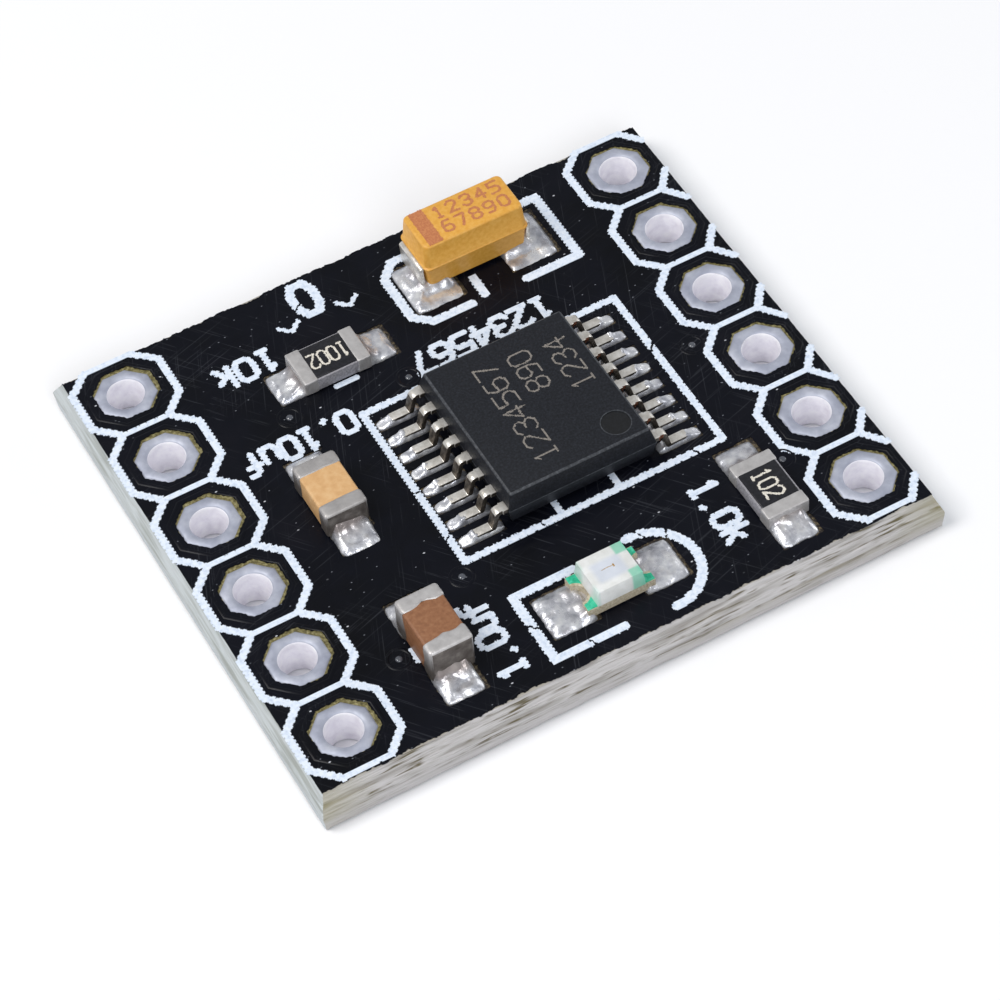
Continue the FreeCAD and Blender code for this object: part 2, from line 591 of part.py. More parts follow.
# Small two-terminal parts. Sizes are given along the part, so they swap where it lies along Y.
def along(name, x, y, lies_along_x, offset, z, long, wide, high):
    """A block on the part's own axis, offset along it."""
    if lies_along_x:
        return block(name, f"{x} + {offset}", y, z, long, wide, high)
    return block(name, x, f"{y} + {offset}", z, wide, long, high)


def end_names(lies_along_x):
    return ("left", "right") if lies_along_x else ("front", "back")


def resistor(name, x, y, lies_along_x):
    core = dict(z=f"{TOP} + end_thick", long="small_long - 2 * end_thick", wide="small_wide",
                high="resistor_height - 2 * end_thick")
    finish(along(f"{name}_ceramic", x, y, lies_along_x, "0", **core), f"{name}_ceramic")
    coat = along(f"{name}_coat", x, y, lies_along_x, "0", f"{TOP} + resistor_height - end_thick",
                 "small_long - 2 * end_band", "small_wide - 2 * coat_in", "end_thick")
    finish(coat, f"{name}_coat")
    for way, side in zip(("-", ""), end_names(lies_along_x)):
        plating = along(f"{name}_{side}_plating", x, y, lies_along_x,
                        f"({way}(small_long - end_band) / 2)", TOP, "end_band", "small_wide",
                        "resistor_height")
        core_space = along(f"{name}_{side}_core", x, y, lies_along_x, "0", **core)
        finish(cut(f"{name}_terminal_{side}", plating, core_space), f"{name}_terminal_{side}")


def ceramic_capacitor(name, x, y, lies_along_x, high):
    core = dict(z=f"{TOP} + end_thick", long="small_long - 2 * end_thick",
                wide="small_wide - 2 * end_thick", high=f"{high} - 2 * end_thick")
    finish(along(f"{name}_ceramic", x, y, lies_along_x, "0", **core), f"{name}_ceramic")
    for way, side in zip(("-", ""), end_names(lies_along_x)):
        whole = along(f"{name}_{side}_whole", x, y, lies_along_x, "0", TOP, "small_long",
                      "small_wide", high)
        doc.recompute()
        shell = edges_broken(f"{name}_{side}_shell", whole, "edge_worn")
        band = along(f"{name}_{side}_band", x, y, lies_along_x,
                     f"({way}(small_long - end_band) / 2)", TOP, "end_band", "small_wide", high)
        core_space = along(f"{name}_{side}_core", x, y, lies_along_x, "0", **core)
        cap = cut(f"{name}_terminal_{side}", common(f"{name}_{side}_cap", shell, band), core_space)
        finish(cap, f"{name}_terminal_{side}")


def lamp(name, x, y):
    core = dict(z=f"{TOP} + end_thick", long="small_long - 2 * end_thick", wide="small_wide",
                high="lamp_base_high - end_thick")
    finish(along(f"{name}_base", x, y, True, "0", **core), f"{name}_base")
    band = "(small_long - lens_long) / 2"
    for way, side in (("-", "left"), ("", "right")):
        plating = along(f"{name}_{side}_plating", x, y, True,
                        f"({way}(small_long - {band}) / 2)", TOP, band, "small_wide",
                        "lamp_base_high + end_thick")
        core_space = along(f"{name}_{side}_core", x, y, True, "0", **core)
        finish(cut(f"{name}_terminal_{side}", plating, core_space), f"{name}_terminal_{side}")
    lens = taper(f"{name}_lens", x, y, f"{TOP} + lamp_base_high", ("lens_long", "small_wide"),
                 ("lens_long - 2 * lens_draft", "small_wide - 2 * lens_draft"), "lens_high")
    finish(lens, f"{name}_lens")


resistor("left_resistor", "left_resistor_x", "left_resistor_y", True)
resistor("right_resistor", "right_resistor_x", "right_resistor_y", False)
ceramic_capacitor("middle_capacitor", "middle_cap_x", "middle_cap_y", False, "middle_cap_high")
ceramic_capacitor("front_capacitor", "front_cap_x", "front_cap_y", False, "front_cap_high")
lamp("led", "lamp_x", "lamp_y")

# The moulded capacitor: two drafted halves with a flat belt between, standing on its straps.
BODY_Y = "tantalum_y + tantalum_back"
BODY_Z = f"{TOP} + strap_thick"
lower_half = taper("tantalum_lower", "tantalum_x", BODY_Y, BODY_Z,
                   ("tantalum_long - 2 * tantalum_foot_in", "tantalum_wide - 2 * tantalum_foot_in"),
                   ("tantalum_long", "tantalum_wide"), "tantalum_belt")
belt = block("tantalum_belt_line", "tantalum_x", BODY_Y, f"{BODY_Z} + tantalum_belt",
             "tantalum_long", "tantalum_wide", "belt_thick")
upper_half = taper("tantalum_upper", "tantalum_x", BODY_Y,
                   f"{BODY_Z} + tantalum_belt + belt_thick", ("tantalum_long", "tantalum_wide"),
                   ("tantalum_long - 2 * tantalum_top_in", "tantalum_wide - 2 * tantalum_top_in"),
                   "tantalum_high - tantalum_belt - belt_thick")
finish(fuse("tantalum_body", [lower_half, belt, upper_half]), "tantalum_body")


# A strap leaves the body at its belt, follows the drafted end down and folds under it.
STRAP_PROFILE = [
    ("0", "strap_thick + tantalum_belt"),
    ("-tantalum_foot_in", "strap_thick"),
    ("-tantalum_foot_in - strap_under", "strap_thick"),
    ("-tantalum_foot_in - strap_under", "0"),
    ("strap_thick - tantalum_foot_in", "0"),
    ("strap_thick", "strap_thick + tantalum_belt"),
]
straps = {}
for side, way, turn in (("left", "-", 180), ("right", "+", 0)):
    strap = new_body(f"tantalum_terminal_{side}", f"tantalum_x {way} tantalum_long / 2", BODY_Y,
                     TOP, turn)
    strap_outline = outline(strap, f"strap_profile_{side}", "XZ_Plane", STRAP_PROFILE)
    pad_both_ways(strap, f"strap_{side}", strap_outline, "strap_wide")
    straps[way] = finish(strap, f"tantalum_terminal_{side}")


# A solder cove climbs from the outer end of a land to the plated end that stands on it.
def cove(name, x, y, turn, run, rise, width):
    body = new_body(name, x, y, TOP, turn)
    profile = [("0", "0"), (run, "0"), (run, "cove_toe"), (f"({run}) * 0.5", f"({rise}) * 0.3"),
               (f"({run}) * 0.18", f"({rise}) * 0.66"), ("0", rise)]
    pad_both_ways(body, f"{name}_fill", outline(body, f"{name}_profile", "XZ_Plane", profile), width)
    return body


# Each part's length over its ends, the height that solder climbs, and the solder's width.
CLIMBS = {
    "left_resistor": ("small_long", "resistor_height", "small_land_wide"),
    "right_resistor": ("small_long", "resistor_height", "small_land_wide"),
    "middle_capacitor": ("small_long", "middle_cap_high * cove_rise", "small_land_wide"),
    "front_capacitor": ("small_long", "front_cap_high * cove_rise", "small_land_wide"),
    "led": ("small_long", "lamp_base_high", "lamp_land_wide"),
    "tantalum": ("tantalum_long + 2 * (strap_thick - tantalum_foot_in)", "strap_thick",
                 "tantalum_land_wide"),
}
coves = []
for name, x, y, lies_along_x, pair, land_long, land_wide in PARTS:
    part_long, rise, width = CLIMBS[name]
    run = f"({pair} - ({part_long})) / 2"
    for way, turn in (("-", 180), ("+", 0)):
        end = f"{way} ({part_long}) / 2"
        if lies_along_x:
            fill = cove(f"cove_{name}_{turn}", f"{x} {end}", y, turn, run, rise, width)
        else:
            fill = cove(f"cove_{name}_{turn + 90}", x, f"{y} {end}", turn + 90, run, rise, width)
        if name == "tantalum":
            # The strap leans out over its own foot, so the solder is shaped by it.
            fill = cut(f"cove_{name}_{turn}_fit", fill, straps[way])
        coves.append(fill)
finish(group("part_solder", coves), "part_solder")

doc.recompute()
for item in doc.Objects:
    if "Invalid" in item.State or "Error" in item.State:
        raise RuntimeError(f"{item.Label} did not build: {item.State}")
for item in FINISHED:
    if item.Shape.isNull() or not item.Shape.isValid() or not item.Shape.Solids:
        raise RuntimeError(f"{item.Label} has no valid solid")

os.makedirs("parts", exist_ok=True)
for item in FINISHED:
    item.Shape.exportStep(f"parts/{item.Label}.step")
print(len(FINISHED), "sub-parts written")
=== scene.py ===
# %% [markdown]
# # A small motor driver board
#
# The board carries one driver chip and six small parts between two rows of plated pin holes.
# It is only 18 mm wide, so what tells it from a toy at this distance is the fine stuff: legend
# ink with stepped edges, solder that climbs its parts, torn glass fibre along the snapped edges.
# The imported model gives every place. This file gives each piece its worked surface.

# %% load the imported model
import math

import bpy
import numpy as np
from mathutils import Matrix, Vector, noise


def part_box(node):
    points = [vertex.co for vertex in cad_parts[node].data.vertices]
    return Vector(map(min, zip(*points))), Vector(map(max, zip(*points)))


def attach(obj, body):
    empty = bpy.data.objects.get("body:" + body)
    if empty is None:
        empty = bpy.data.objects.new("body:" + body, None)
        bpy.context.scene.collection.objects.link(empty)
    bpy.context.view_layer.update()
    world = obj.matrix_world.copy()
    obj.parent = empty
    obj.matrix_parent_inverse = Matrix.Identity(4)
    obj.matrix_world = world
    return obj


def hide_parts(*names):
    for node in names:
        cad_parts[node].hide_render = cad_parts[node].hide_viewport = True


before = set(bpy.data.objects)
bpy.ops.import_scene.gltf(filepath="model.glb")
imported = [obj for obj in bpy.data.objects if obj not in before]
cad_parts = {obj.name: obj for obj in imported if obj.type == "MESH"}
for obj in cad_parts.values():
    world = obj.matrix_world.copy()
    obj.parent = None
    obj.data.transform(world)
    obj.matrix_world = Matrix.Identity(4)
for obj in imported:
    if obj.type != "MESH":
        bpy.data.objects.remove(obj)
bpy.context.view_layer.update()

# %% [markdown]
# Blender's tools are tuned for things about a metre wide, and their thresholds swallow a
# tenth of a millimetre. So each piece is modelled with one unit for a millimetre, at its own
# place, and brought to metres by one scale that is applied to its mesh when it is finished.

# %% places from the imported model, in millimetres
MM = 0.001


def place_of(node):
    """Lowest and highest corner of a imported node, in millimetres."""
    low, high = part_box(node)
    return Vector(low) / MM, Vector(high) / MM


board_low, board_high = place_of("substrate")
face_low, face_high = place_of("solder_mask_top")
foot_low, foot_high = place_of("solder_mask_bottom")
COPPER_TOP = place_of("chip_lands")[1].z
LAMINATE_TOP = face_low.z
MASK_TOP = face_high.z
pads = {name: place_of(name) for name in sorted(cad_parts) if name.startswith("pin_hole")}
print("board top at", round(COPPER_TOP, 3), "mm,", len(pads), "pin holes")

# %% [markdown]
# An operator works on whatever is selected, and a fresh import leaves everything selected. One
# helper clears the selection, and one picks faces or edges by where they are, as a hand would
# with the mouse.

# %% selecting
def nothing_selected():
    if bpy.context.object and bpy.context.object.mode != "OBJECT":
        bpy.ops.object.mode_set(mode="OBJECT")
    bpy.ops.object.select_all(action="DESELECT")


def in_hand(piece):
    """Makes one piece the only selected one and the active one."""
    nothing_selected()
    piece.select_set(True)
    bpy.context.view_layer.objects.active = piece
    return piece


def choose(piece, kind, test):
    """Opens the piece in edit mode with the faces or edges selected that pass the test."""
    in_hand(piece)
    mesh = piece.data
    for items in (mesh.vertices, mesh.edges, mesh.polygons):
        items.foreach_set("select", [False] * len(items))
    if kind == "FACE":
        for face in mesh.polygons:
            face.select = test(face.center, face.normal)
    else:
        spots = [point.co for point in mesh.vertices]
        for edge in mesh.edges:
            edge.select = test(spots[edge.vertices[0]], spots[edge.vertices[1]])
    bpy.context.tool_settings.mesh_select_mode = (False, kind == "EDGE", kind == "FACE")
    bpy.ops.object.mode_set(mode="EDIT")


def choose_all(piece):
    choose(piece, "FACE", lambda centre, normal: True)


def modify(piece, kind, **settings):
    """Adds a modifier, sets it up and applies it."""
    in_hand(piece)
    item = piece.modifiers.new(kind.title(), kind)
    for name, value in settings.items():
        setattr(item, name, value)
    bpy.ops.object.modifier_apply(modifier=item.name)
    return piece


# %% starting shapes
def keep_place(piece, name):
    """Names a fresh piece and puts its place, turn and size into its mesh."""
    piece.name = name
    bpy.ops.object.transform_apply(location=True, rotation=True, scale=True)
    return piece


def block(name, low, high):
    """A box between two corners."""
    nothing_selected()
    low, high = Vector(low), Vector(high)
    bpy.ops.mesh.primitive_cube_add(size=1, location=(low + high) / 2)
    bpy.context.object.scale = high - low
    return keep_place(bpy.context.object, name)


def flat_grid(name, low, high, z, columns, rows):
    """A flat sheet of cells."""
    nothing_selected()
    middle = ((low[0] + high[0]) / 2, (low[1] + high[1]) / 2, z)
    bpy.ops.mesh.primitive_grid_add(x_subdivisions=columns, y_subdivisions=rows, size=1,
                                    location=middle)
    bpy.context.object.scale = (high[0] - low[0], high[1] - low[1], 1)
    return keep_place(bpy.context.object, name)


def upright(name, centre, radius, low, high, points=48):
    """A closed cylinder that stands on z = low."""
    nothing_selected()
    bpy.ops.mesh.primitive_cylinder_add(vertices=points, radius=radius, depth=high - low,
                                        location=(centre[0], centre[1], (low + high) / 2))
    return keep_place(bpy.context.object, name)


def joined(pieces, name):
    """Several meshes as one piece."""
    in_hand(pieces[0])
    for piece in pieces:
        piece.select_set(True)
    bpy.ops.object.join()
    bpy.context.object.name = name
    return bpy.context.object


def carve(piece, tool):
    """Takes the tool's shape out of the piece and throws the tool away."""
    modify(piece, "BOOLEAN", operation="DIFFERENCE", solver="MANIFOLD", object=tool)
    bpy.data.objects.remove(tool)
    return piece


def break_edges(piece, width, segments=2, sharper_than=30):
    """A small round on every edge sharper than an angle in degrees."""
    return modify(piece, "BEVEL", width=width, segments=segments, limit_method="ANGLE",
                  angle_limit=math.radians(sharper_than))


def soften(piece, width, test, segments=3):
    """Rounds only the edges that pass the test."""
    choose(piece, "EDGE", test)
    bpy.ops.mesh.bevel(offset=width, segments=segments, affect="EDGES")
    bpy.ops.object.mode_set(mode="OBJECT")
    return piece


def grow(piece, rise, share):
    """Extrudes the topmost face upwards and resizes it, as a mould's draft does."""
    top = max(point.co.z for point in piece.data.vertices)
    choose(piece, "FACE", lambda centre, normal: normal.z > 0.9 and centre.z > top - 1e-4)
    bpy.ops.mesh.extrude_region_move(TRANSFORM_OT_translate={"value": (0, 0, rise)})
    bpy.ops.transform.resize(value=(share[0], share[1], 1))
    bpy.ops.object.mode_set(mode="OBJECT")
    return piece


def rough(spot, size, seed=0.0):
    """Smooth noise between about -1 and 1 whose lumps are as long as size, in millimetres."""
    return noise.noise(Vector((spot[0] / size, spot[1] / size, spot[2] / size + seed)))


def nudge(piece, move):
    """Moves every point by what a rule gives for its place and normal."""
    shifts = [move(point.co.copy(), point.normal.copy()) for point in piece.data.vertices]
    for point, shift in zip(piece.data.vertices, shifts):
        point.co += shift
    piece.data.update()
    return piece


# %% [markdown]
# A finish is named for what the surface is and how it was made. Colours are written as a
# painter would read them off a screen and turned to the linear values that light works in.
# Every pattern's scale comes from the real size of its grain in millimetres.

# %% colours and nodes
def linear(colour):
    """An sRGB hex colour as linear red, green, blue and alpha."""
    parts = [int(colour[i:i + 2], 16) / 255 for i in (1, 3, 5)]
    return (*[p / 12.92 if p <= 0.04045 else ((p + 0.055) / 1.055) ** 2.4 for p in parts], 1.0)


def per(size):
    """The Scale of a pattern whose features are so many millimetres apart."""
    return 1 / (size * MM)


def add(tree, kind, inputs=(), **settings):
    """Adds one node; an input is a value or another node's output."""
    item = tree.nodes.new(kind)
    for name, value in settings.items():
        setattr(item, name, value)
    for key, value in dict(inputs).items():
        if isinstance(value, bpy.types.NodeSocket):
            tree.links.new(value, item.inputs[key])
        else:
            item.inputs[key].default_value = value
    return item


def new_finish(name, colour, roughness, metallic=0.0, **sockets):
    """A material with its Principled shader set; returns it, its tree, shader and place."""
    material = bpy.data.materials.new(name)
    material.use_nodes = True
    tree = material.node_tree
    shader = tree.nodes["Principled BSDF"]
    shader.inputs["Base Color"].default_value = linear(colour)
    shader.inputs["Roughness"].default_value = roughness
    shader.inputs["Metallic"].default_value = metallic
    for key, value in sockets.items():
        shader.inputs[key.replace("_", " ")].default_value = value
    place = add(tree, "ShaderNodeTexCoord").outputs["Object"]
    return material, tree, shader, place


def grain(tree, place, size, detail=3.0, stretch=(1, 1, 1)):
    """Noise with lumps of a size in millimetres, drawn out along an axis by stretch."""
    spread = add(tree, "ShaderNodeMapping", {"Vector": place, "Scale": [1 / s for s in stretch]})
    return add(tree, "ShaderNodeTexNoise", {"Vector": spread.outputs[0], "Scale": per(size),
                                            "Detail": detail, "Roughness": 0.6}).outputs["Fac"]


def ramp(tree, factor, *stops):
    """Blends colours along a factor; each stop is (position, hex colour)."""
    item = add(tree, "ShaderNodeValToRGB", {"Fac": factor})
    while len(item.color_ramp.elements) < len(stops):
        item.color_ramp.elements.new(0.5)
    for element, (position, colour) in zip(item.color_ramp.elements, stops):
        element.position = position
        element.color = linear(colour)
    return item.outputs["Color"]


def between(tree, factor, low, high):
    """A factor from 0 to 1 spread over a range of values."""
    return add(tree, "ShaderNodeMapRange", {"Value": factor, "To Min": low,
                                            "To Max": high}).outputs["Result"]


def step_up(tree, factor, start, end):
    """0 below start, 1 above end and a ramp between."""
    return add(tree, "ShaderNodeMapRange", {"Value": factor, "From Min": start,
                                            "From Max": end}).outputs["Result"]


def over(tree, factor, under, upper):
    """Two colours mixed by a factor; each is a hex colour or a node's output."""
    under, upper = (linear(end) if isinstance(end, str) else end for end in (under, upper))
    return add(tree, "ShaderNodeMix", {"Factor": factor, "A": under, "B": upper},
               data_type="RGBA").outputs["Result"]


def relief(tree, shader, height, depth):
    """Bump as deep as so many millimetres."""
    bump = add(tree, "ShaderNodeBump", {"Height": height, "Distance": depth * MM, "Strength": 1.0})
    tree.links.new(bump.outputs["Normal"], shader.inputs["Normal"])


# %% [markdown]
# The mask is a film of black epoxy ink, cured to a satin gloss. It hides nearly all light, so
# what the eye gets is a soft reflection, a little dust and hairline scratches.

# %% solder mask
def times(tree, one, two):
    return add(tree, "ShaderNodeMath", {0: one, 1: two}, operation="MULTIPLY").outputs[0]


def hairlines(tree, place, turn, width, long, rarity):
    """Fine scratches that all run one way; turn is their angle from X in degrees."""
    turned = add(tree, "ShaderNodeMapping", {"Vector": place,
                                             "Rotation": (0, 0, -math.radians(turn))})
    lines = grain(tree, turned.outputs[0], width, 0, stretch=(long / width, 1, 1))
    patch = step_up(tree, grain(tree, turned.outputs[0], 3.1, 2), 0.45, 0.62)
    return times(tree, step_up(tree, lines, rarity, rarity + 0.05), patch)


def dust(tree, place, apart, size, share):
    """Specks: a share of the cells of a scattered pattern hold a dot."""
    drawn_out = add(tree, "ShaderNodeMapping", {"Vector": place, "Rotation": (0, 0, -0.5),
                                                "Scale": (0.6, 1.1, 1)})
    cells = add(tree, "ShaderNodeTexVoronoi", {"Vector": drawn_out.outputs[0], "Scale": per(apart)},
                voronoi_dimensions="2D")
    dot = step_up(tree, cells.outputs["Distance"], size / apart, 0.6 * size / apart)
    lot = add(tree, "ShaderNodeSeparateColor", {"Color": cells.outputs["Color"]}).outputs["Red"]
    return times(tree, dot, step_up(tree, lot, 1 - share, 1.02 - share))


# Each is the angle from X in degrees, the width and length in millimetres, and how rare.
SCRATCHES = ((17, 0.03, 2.2, 0.71), (68, 0.028, 1.8, 0.72), (-52, 0.028, 1.2, 0.72))


def solder_mask_finish():
    material, tree, shader, place = new_finish("black_solder_mask", "#0a0c13", 0.3,
                                               Specular_IOR_Level=0.16)
    colour = ramp(tree, grain(tree, place, 2.2, 4),
                  (0.3, "#05060b"), (0.55, "#090b14"), (0.8, "#0f0f17"))
    for scratch in SCRATCHES:
        line = hairlines(tree, place, *scratch)
        colour = over(tree, times(tree, line, 0.12), colour, "#6d7078")
    colour = over(tree, dust(tree, place, 0.5, 0.024, 0.08), colour, "#c3c5cc")
    colour = over(tree, times(tree, dust(tree, place, 0.16, 0.016, 0.06), 0.55), colour, "#9da1ab")
    tree.links.new(colour, shader.inputs["Base Color"])
    tree.links.new(between(tree, grain(tree, place, 0.7, 4), 0.22, 0.42), shader.inputs["Roughness"])
    relief(tree, shader, grain(tree, place, 0.35, 3), 0.003)
    return material


MASK = solder_mask_finish()
# A via's bead is glossy mask painted grey, lighter than the mask round it: a painted glint.
PAINTED_GLINT_BEAD = new_finish("glossy_mask_bead_painted_glint", "#4b4e56", 0.1, Specular_IOR_Level=1.0)[0]

# %% [markdown]
# Legend ink is white epoxy pushed through a fine screen. It is thick enough to have a body of
# its own and its colour leans to blue over the black.

# %% legend ink
def legend_finish():
    material, tree, shader, place = new_finish("white_legend_ink", "#dfe8f6", 0.6)
    tone = ramp(tree, grain(tree, place, 0.12, 4),
                (0.3, "#c3d0e4"), (0.5, "#dde7f5"), (0.8, "#eef3fb"))
    tree.links.new(tone, shader.inputs["Base Color"])
    relief(tree, shader, grain(tree, place, 0.05, 2), 0.006)
    return material


INK = legend_finish()

# %% [markdown]
# Three looks of tin: the pads, dipped and blown level, are frosted; the reflowed joints are
# bright and wrinkled by flux; the leads and plated ends are matt and faintly yellow. The leads'
# slopes and flanks and the capacitors' plated ends are painted darker: painted shade. The bore
# of each hole is painted near white: painted light.

# %% tin, solder and copper
def tin_finish(name, shades, roughness, lump, depth, metallic=1.0):
    """Tin with a cloudy colour, uneven gloss and a lumpy face."""
    material, tree, shader, place = new_finish(name, shades[1], roughness[0], metallic)
    cloud = grain(tree, place, lump, 4)
    colour = ramp(tree, cloud, (0.3, shades[0]), (0.5, shades[1]), (0.72, shades[2]))
    tree.links.new(colour, shader.inputs["Base Color"])
    tree.links.new(between(tree, grain(tree, place, lump * 0.7, 3), *roughness),
                   shader.inputs["Roughness"])
    relief(tree, shader, grain(tree, place, lump * 0.5, 3), depth)
    return material


LEVELLED_TIN = tin_finish("levelled_tin", ("#a2a6b7", "#b3b7c6", "#c9ccd8"),
                          (0.5, 0.68), 0.5, 0.005, 0.5)
# The bore of each hole is painted near white and not metallic, so the inside of the hole reads bright:
# painted light.
PAINTED_BRIGHT_BARREL = tin_finish("barrel_tin_painted_bright", ("#e6e3ec", "#f3f1f8", "#fdfcff"),
                        (0.5, 0.7), 0.3, 0.004, 0.0)
SOLDER = tin_finish("reflowed_solder", ("#a9abb4", "#dcdde3", "#ffffff"),
                    (0.18, 0.42), 0.34, 0.018, 0.7)
PLATED_LEAD = tin_finish("plated_lead", ("#ccc6bc", "#e6e1d9", "#fcf9f4"),
                         (0.26, 0.44), 0.2, 0.008, 0.75)
PLATED_END = tin_finish("barrel_plated_end", ("#bab7b6", "#c6c3c2", "#d1cecd"),
                        (0.34, 0.5), 0.22, 0.004, 0.55)
# The end faces of a capacitor's plated ends are painted dark: painted shade.
PAINTED_SHADE_END_FACE = tin_finish("plated_end_face_painted_shade", ("#544d48", "#6b645f", "#8c8680"),
                      (0.4, 0.58), 0.3, 0.008, 0.4)
COPPER = tin_finish("cut_copper", ("#633a2a", "#8f5a42", "#bb8467"), (0.34, 0.52), 0.08, 0.006, 0.8)
# The leads' slopes and flanks are painted dark grey-brown: painted shade.
PAINTED_SHADE_LEAD = tin_finish("lead_painted_shade", ("#4c453e", "#6d655c", "#8f867b"),
                        (0.28, 0.46), 0.12, 0.006, 0.85)

# %% flux on solder, painted shade on plated ends
def flux_stain_and_painted_shade(finish, name, start, end, strength, blotches, tone):
    """The finish browned between two heights above the copper and in blotches: flux on solder, painted
    shade on plated ends.
    """
    material = finish.copy()
    material.name = name
    tree = material.node_tree
    shader = tree.nodes["Principled BSDF"]
    place = add(tree, "ShaderNodeTexCoord").outputs["Object"]
    height = add(tree, "ShaderNodeSeparateXYZ", {"Vector": place}).outputs["Z"]
    near = step_up(tree, height, (COPPER_TOP + start) * MM, (COPPER_TOP + end) * MM)
    blotch = times(tree, step_up(tree, grain(tree, place, 0.4, 2), 0.55, 0.66), blotches)
    stain = add(tree, "ShaderNodeMath", {0: near, 1: blotch}, operation="MAXIMUM").outputs[0]
    clean = shader.inputs["Base Color"].links[0].from_socket
    tree.links.new(over(tree, times(tree, stain, strength), clean, tone),
                   shader.inputs["Base Color"])
    return material


STAINED_SOLDER = flux_stain_and_painted_shade(SOLDER, "stained_solder", 0.09, 0.3, 0.7, 0.22, "#8b776b")
# The capacitors' plated ends are painted darker towards the bottom: painted shade.
PAINTED_SHADE_LOW_END = flux_stain_and_painted_shade(PLATED_END, "plated_end_painted_low_shade", 1.05, 0.45, 0.9, 0.0, "#5e554e")

# %% [markdown]
# The laminate is glass cloth in yellow epoxy. Its face shows only as a thin olive fringe in
# the pad openings. Its snapped edges show the cloth side on: pale bundles of fibre between
# darker lines of resin, all running along the edge.

# %% glass epoxy
def laminate_face_finish():
    material, tree, shader, place = new_finish("glass_epoxy_face", "#8d7f45", 0.5)
    apart = add(tree, "ShaderNodeSeparateXYZ", {"Vector": place})
    far_x = add(tree, "ShaderNodeMath", {0: apart.outputs["X"]}, operation="ABSOLUTE").outputs[0]
    far_y = add(tree, "ShaderNodeMath", {0: apart.outputs["Y"]}, operation="ABSOLUTE").outputs[0]
    olive = ramp(tree, grain(tree, place, 0.09, 3),
                 (0.3, "#40391f"), (0.5, "#70683f"), (0.72, "#a69e74"))
    flux = ramp(tree, grain(tree, place, 0.07, 3),
                (0.35, "#120f0d"), (0.5, "#2a2119"), (0.66, "#6c6048"))
    tone = over(tree, step_up(tree, far_x, 6.2 * MM, 6.4 * MM), flux, olive)
    rim = over(tree, step_up(tree, far_y, 7.5 * MM, 7.56 * MM), tone, "#a9a49a")
    tree.links.new(rim, shader.inputs["Base Color"])
    relief(tree, shader, grain(tree, place, 0.06, 2), 0.01)
    return material


def snapped_edge_finish(name, along_x, dark, mid, pale, olive, threads):
    """Fibre bundles drawn out along the edge; threads is how strongly dark resin shows between."""
    material, tree, shader, place = new_finish(name, mid, 0.75)
    stretch = (18, 5, 1) if along_x else (5, 18, 1)
    long = [2 * s for s in stretch[:2]] + [1]
    bundles = grain(tree, place, 0.2, 3, stretch)
    fibres = grain(tree, place, 0.045, 2, long)
    tone = ramp(tree, bundles, (0.35, mid), (0.5, pale), (0.64, mid))
    stain = step_up(tree, grain(tree, place, 0.55, 3, stretch), 0.56, 0.7)
    streaked = over(tree, times(tree, stain, 0.45 * threads), tone, olive)
    resin = step_up(tree, grain(tree, place, 0.075, 2, stretch), 0.53, 0.64)
    patch = step_up(tree, grain(tree, place, 0.8, 2), 0.36, 0.54)
    darker = over(tree, times(tree, times(tree, resin, patch), threads), streaked, dark)
    threaded = over(tree, times(tree, step_up(tree, fibres, 0.55, 0.7), 0.5), darker, pale)
    apart = add(tree, "ShaderNodeSeparateXYZ", {"Vector": place})
    far_x = add(tree, "ShaderNodeMath", {0: apart.outputs["X"]}, operation="ABSOLUTE").outputs[0]
    corner = times(tree, step_up(tree, far_x, 7.4 * MM, 9.0 * MM), 0.42 * threads)
    foot = times(tree, step_up(tree, apart.outputs["Z"], 0.5 * MM, 0.3 * MM), 0.6)
    cornered = over(tree, corner, threaded, "#989262")
    tree.links.new(over(tree, foot, cornered, pale), shader.inputs["Base Color"])
    height = add(tree, "ShaderNodeMath", {0: bundles, 1: fibres}, operation="ADD").outputs[0]
    relief(tree, shader, height, 0.035 * threads)
    return material


LAMINATE_FACE = laminate_face_finish()
FRONT_EDGE = snapped_edge_finish("snapped_edge_front", True,
                                 "#5f573f", "#9c9894", "#c6c3c3", "#857b56", 1.0)
SIDE_EDGE = snapped_edge_finish("snapped_edge_side", False,
                                "#787d7c", "#9da3a4", "#c6cdd3", "#a8a68a", 0.3)

# %% [markdown]
# Moulded and fired bodies: the chip's black compound is full of silica and so is matt with fine
# grains; the yellow moulding of the big capacitor is smoother; the ceramics are fired.

# %% moulded and fired bodies
def speckled(name, shades, roughness, size, depth, **sockets):
    """A dull body whose colour and face have a fine grain."""
    material, tree, shader, place = new_finish(name, shades[1], roughness, **sockets)
    tone = ramp(tree, grain(tree, place, size, 4),
                (0.34, shades[0]), (0.5, shades[1]), (0.68, shades[2]))
    tree.links.new(tone, shader.inputs["Base Color"])
    relief(tree, shader, grain(tree, place, size * 0.6, 3), depth)
    return material


CHIP_BLACK = speckled("black_moulding_compound", ("#111318", "#191b21", "#23262d"), 0.45, 0.06, 0.005,
                      Specular_IOR_Level=0.3)
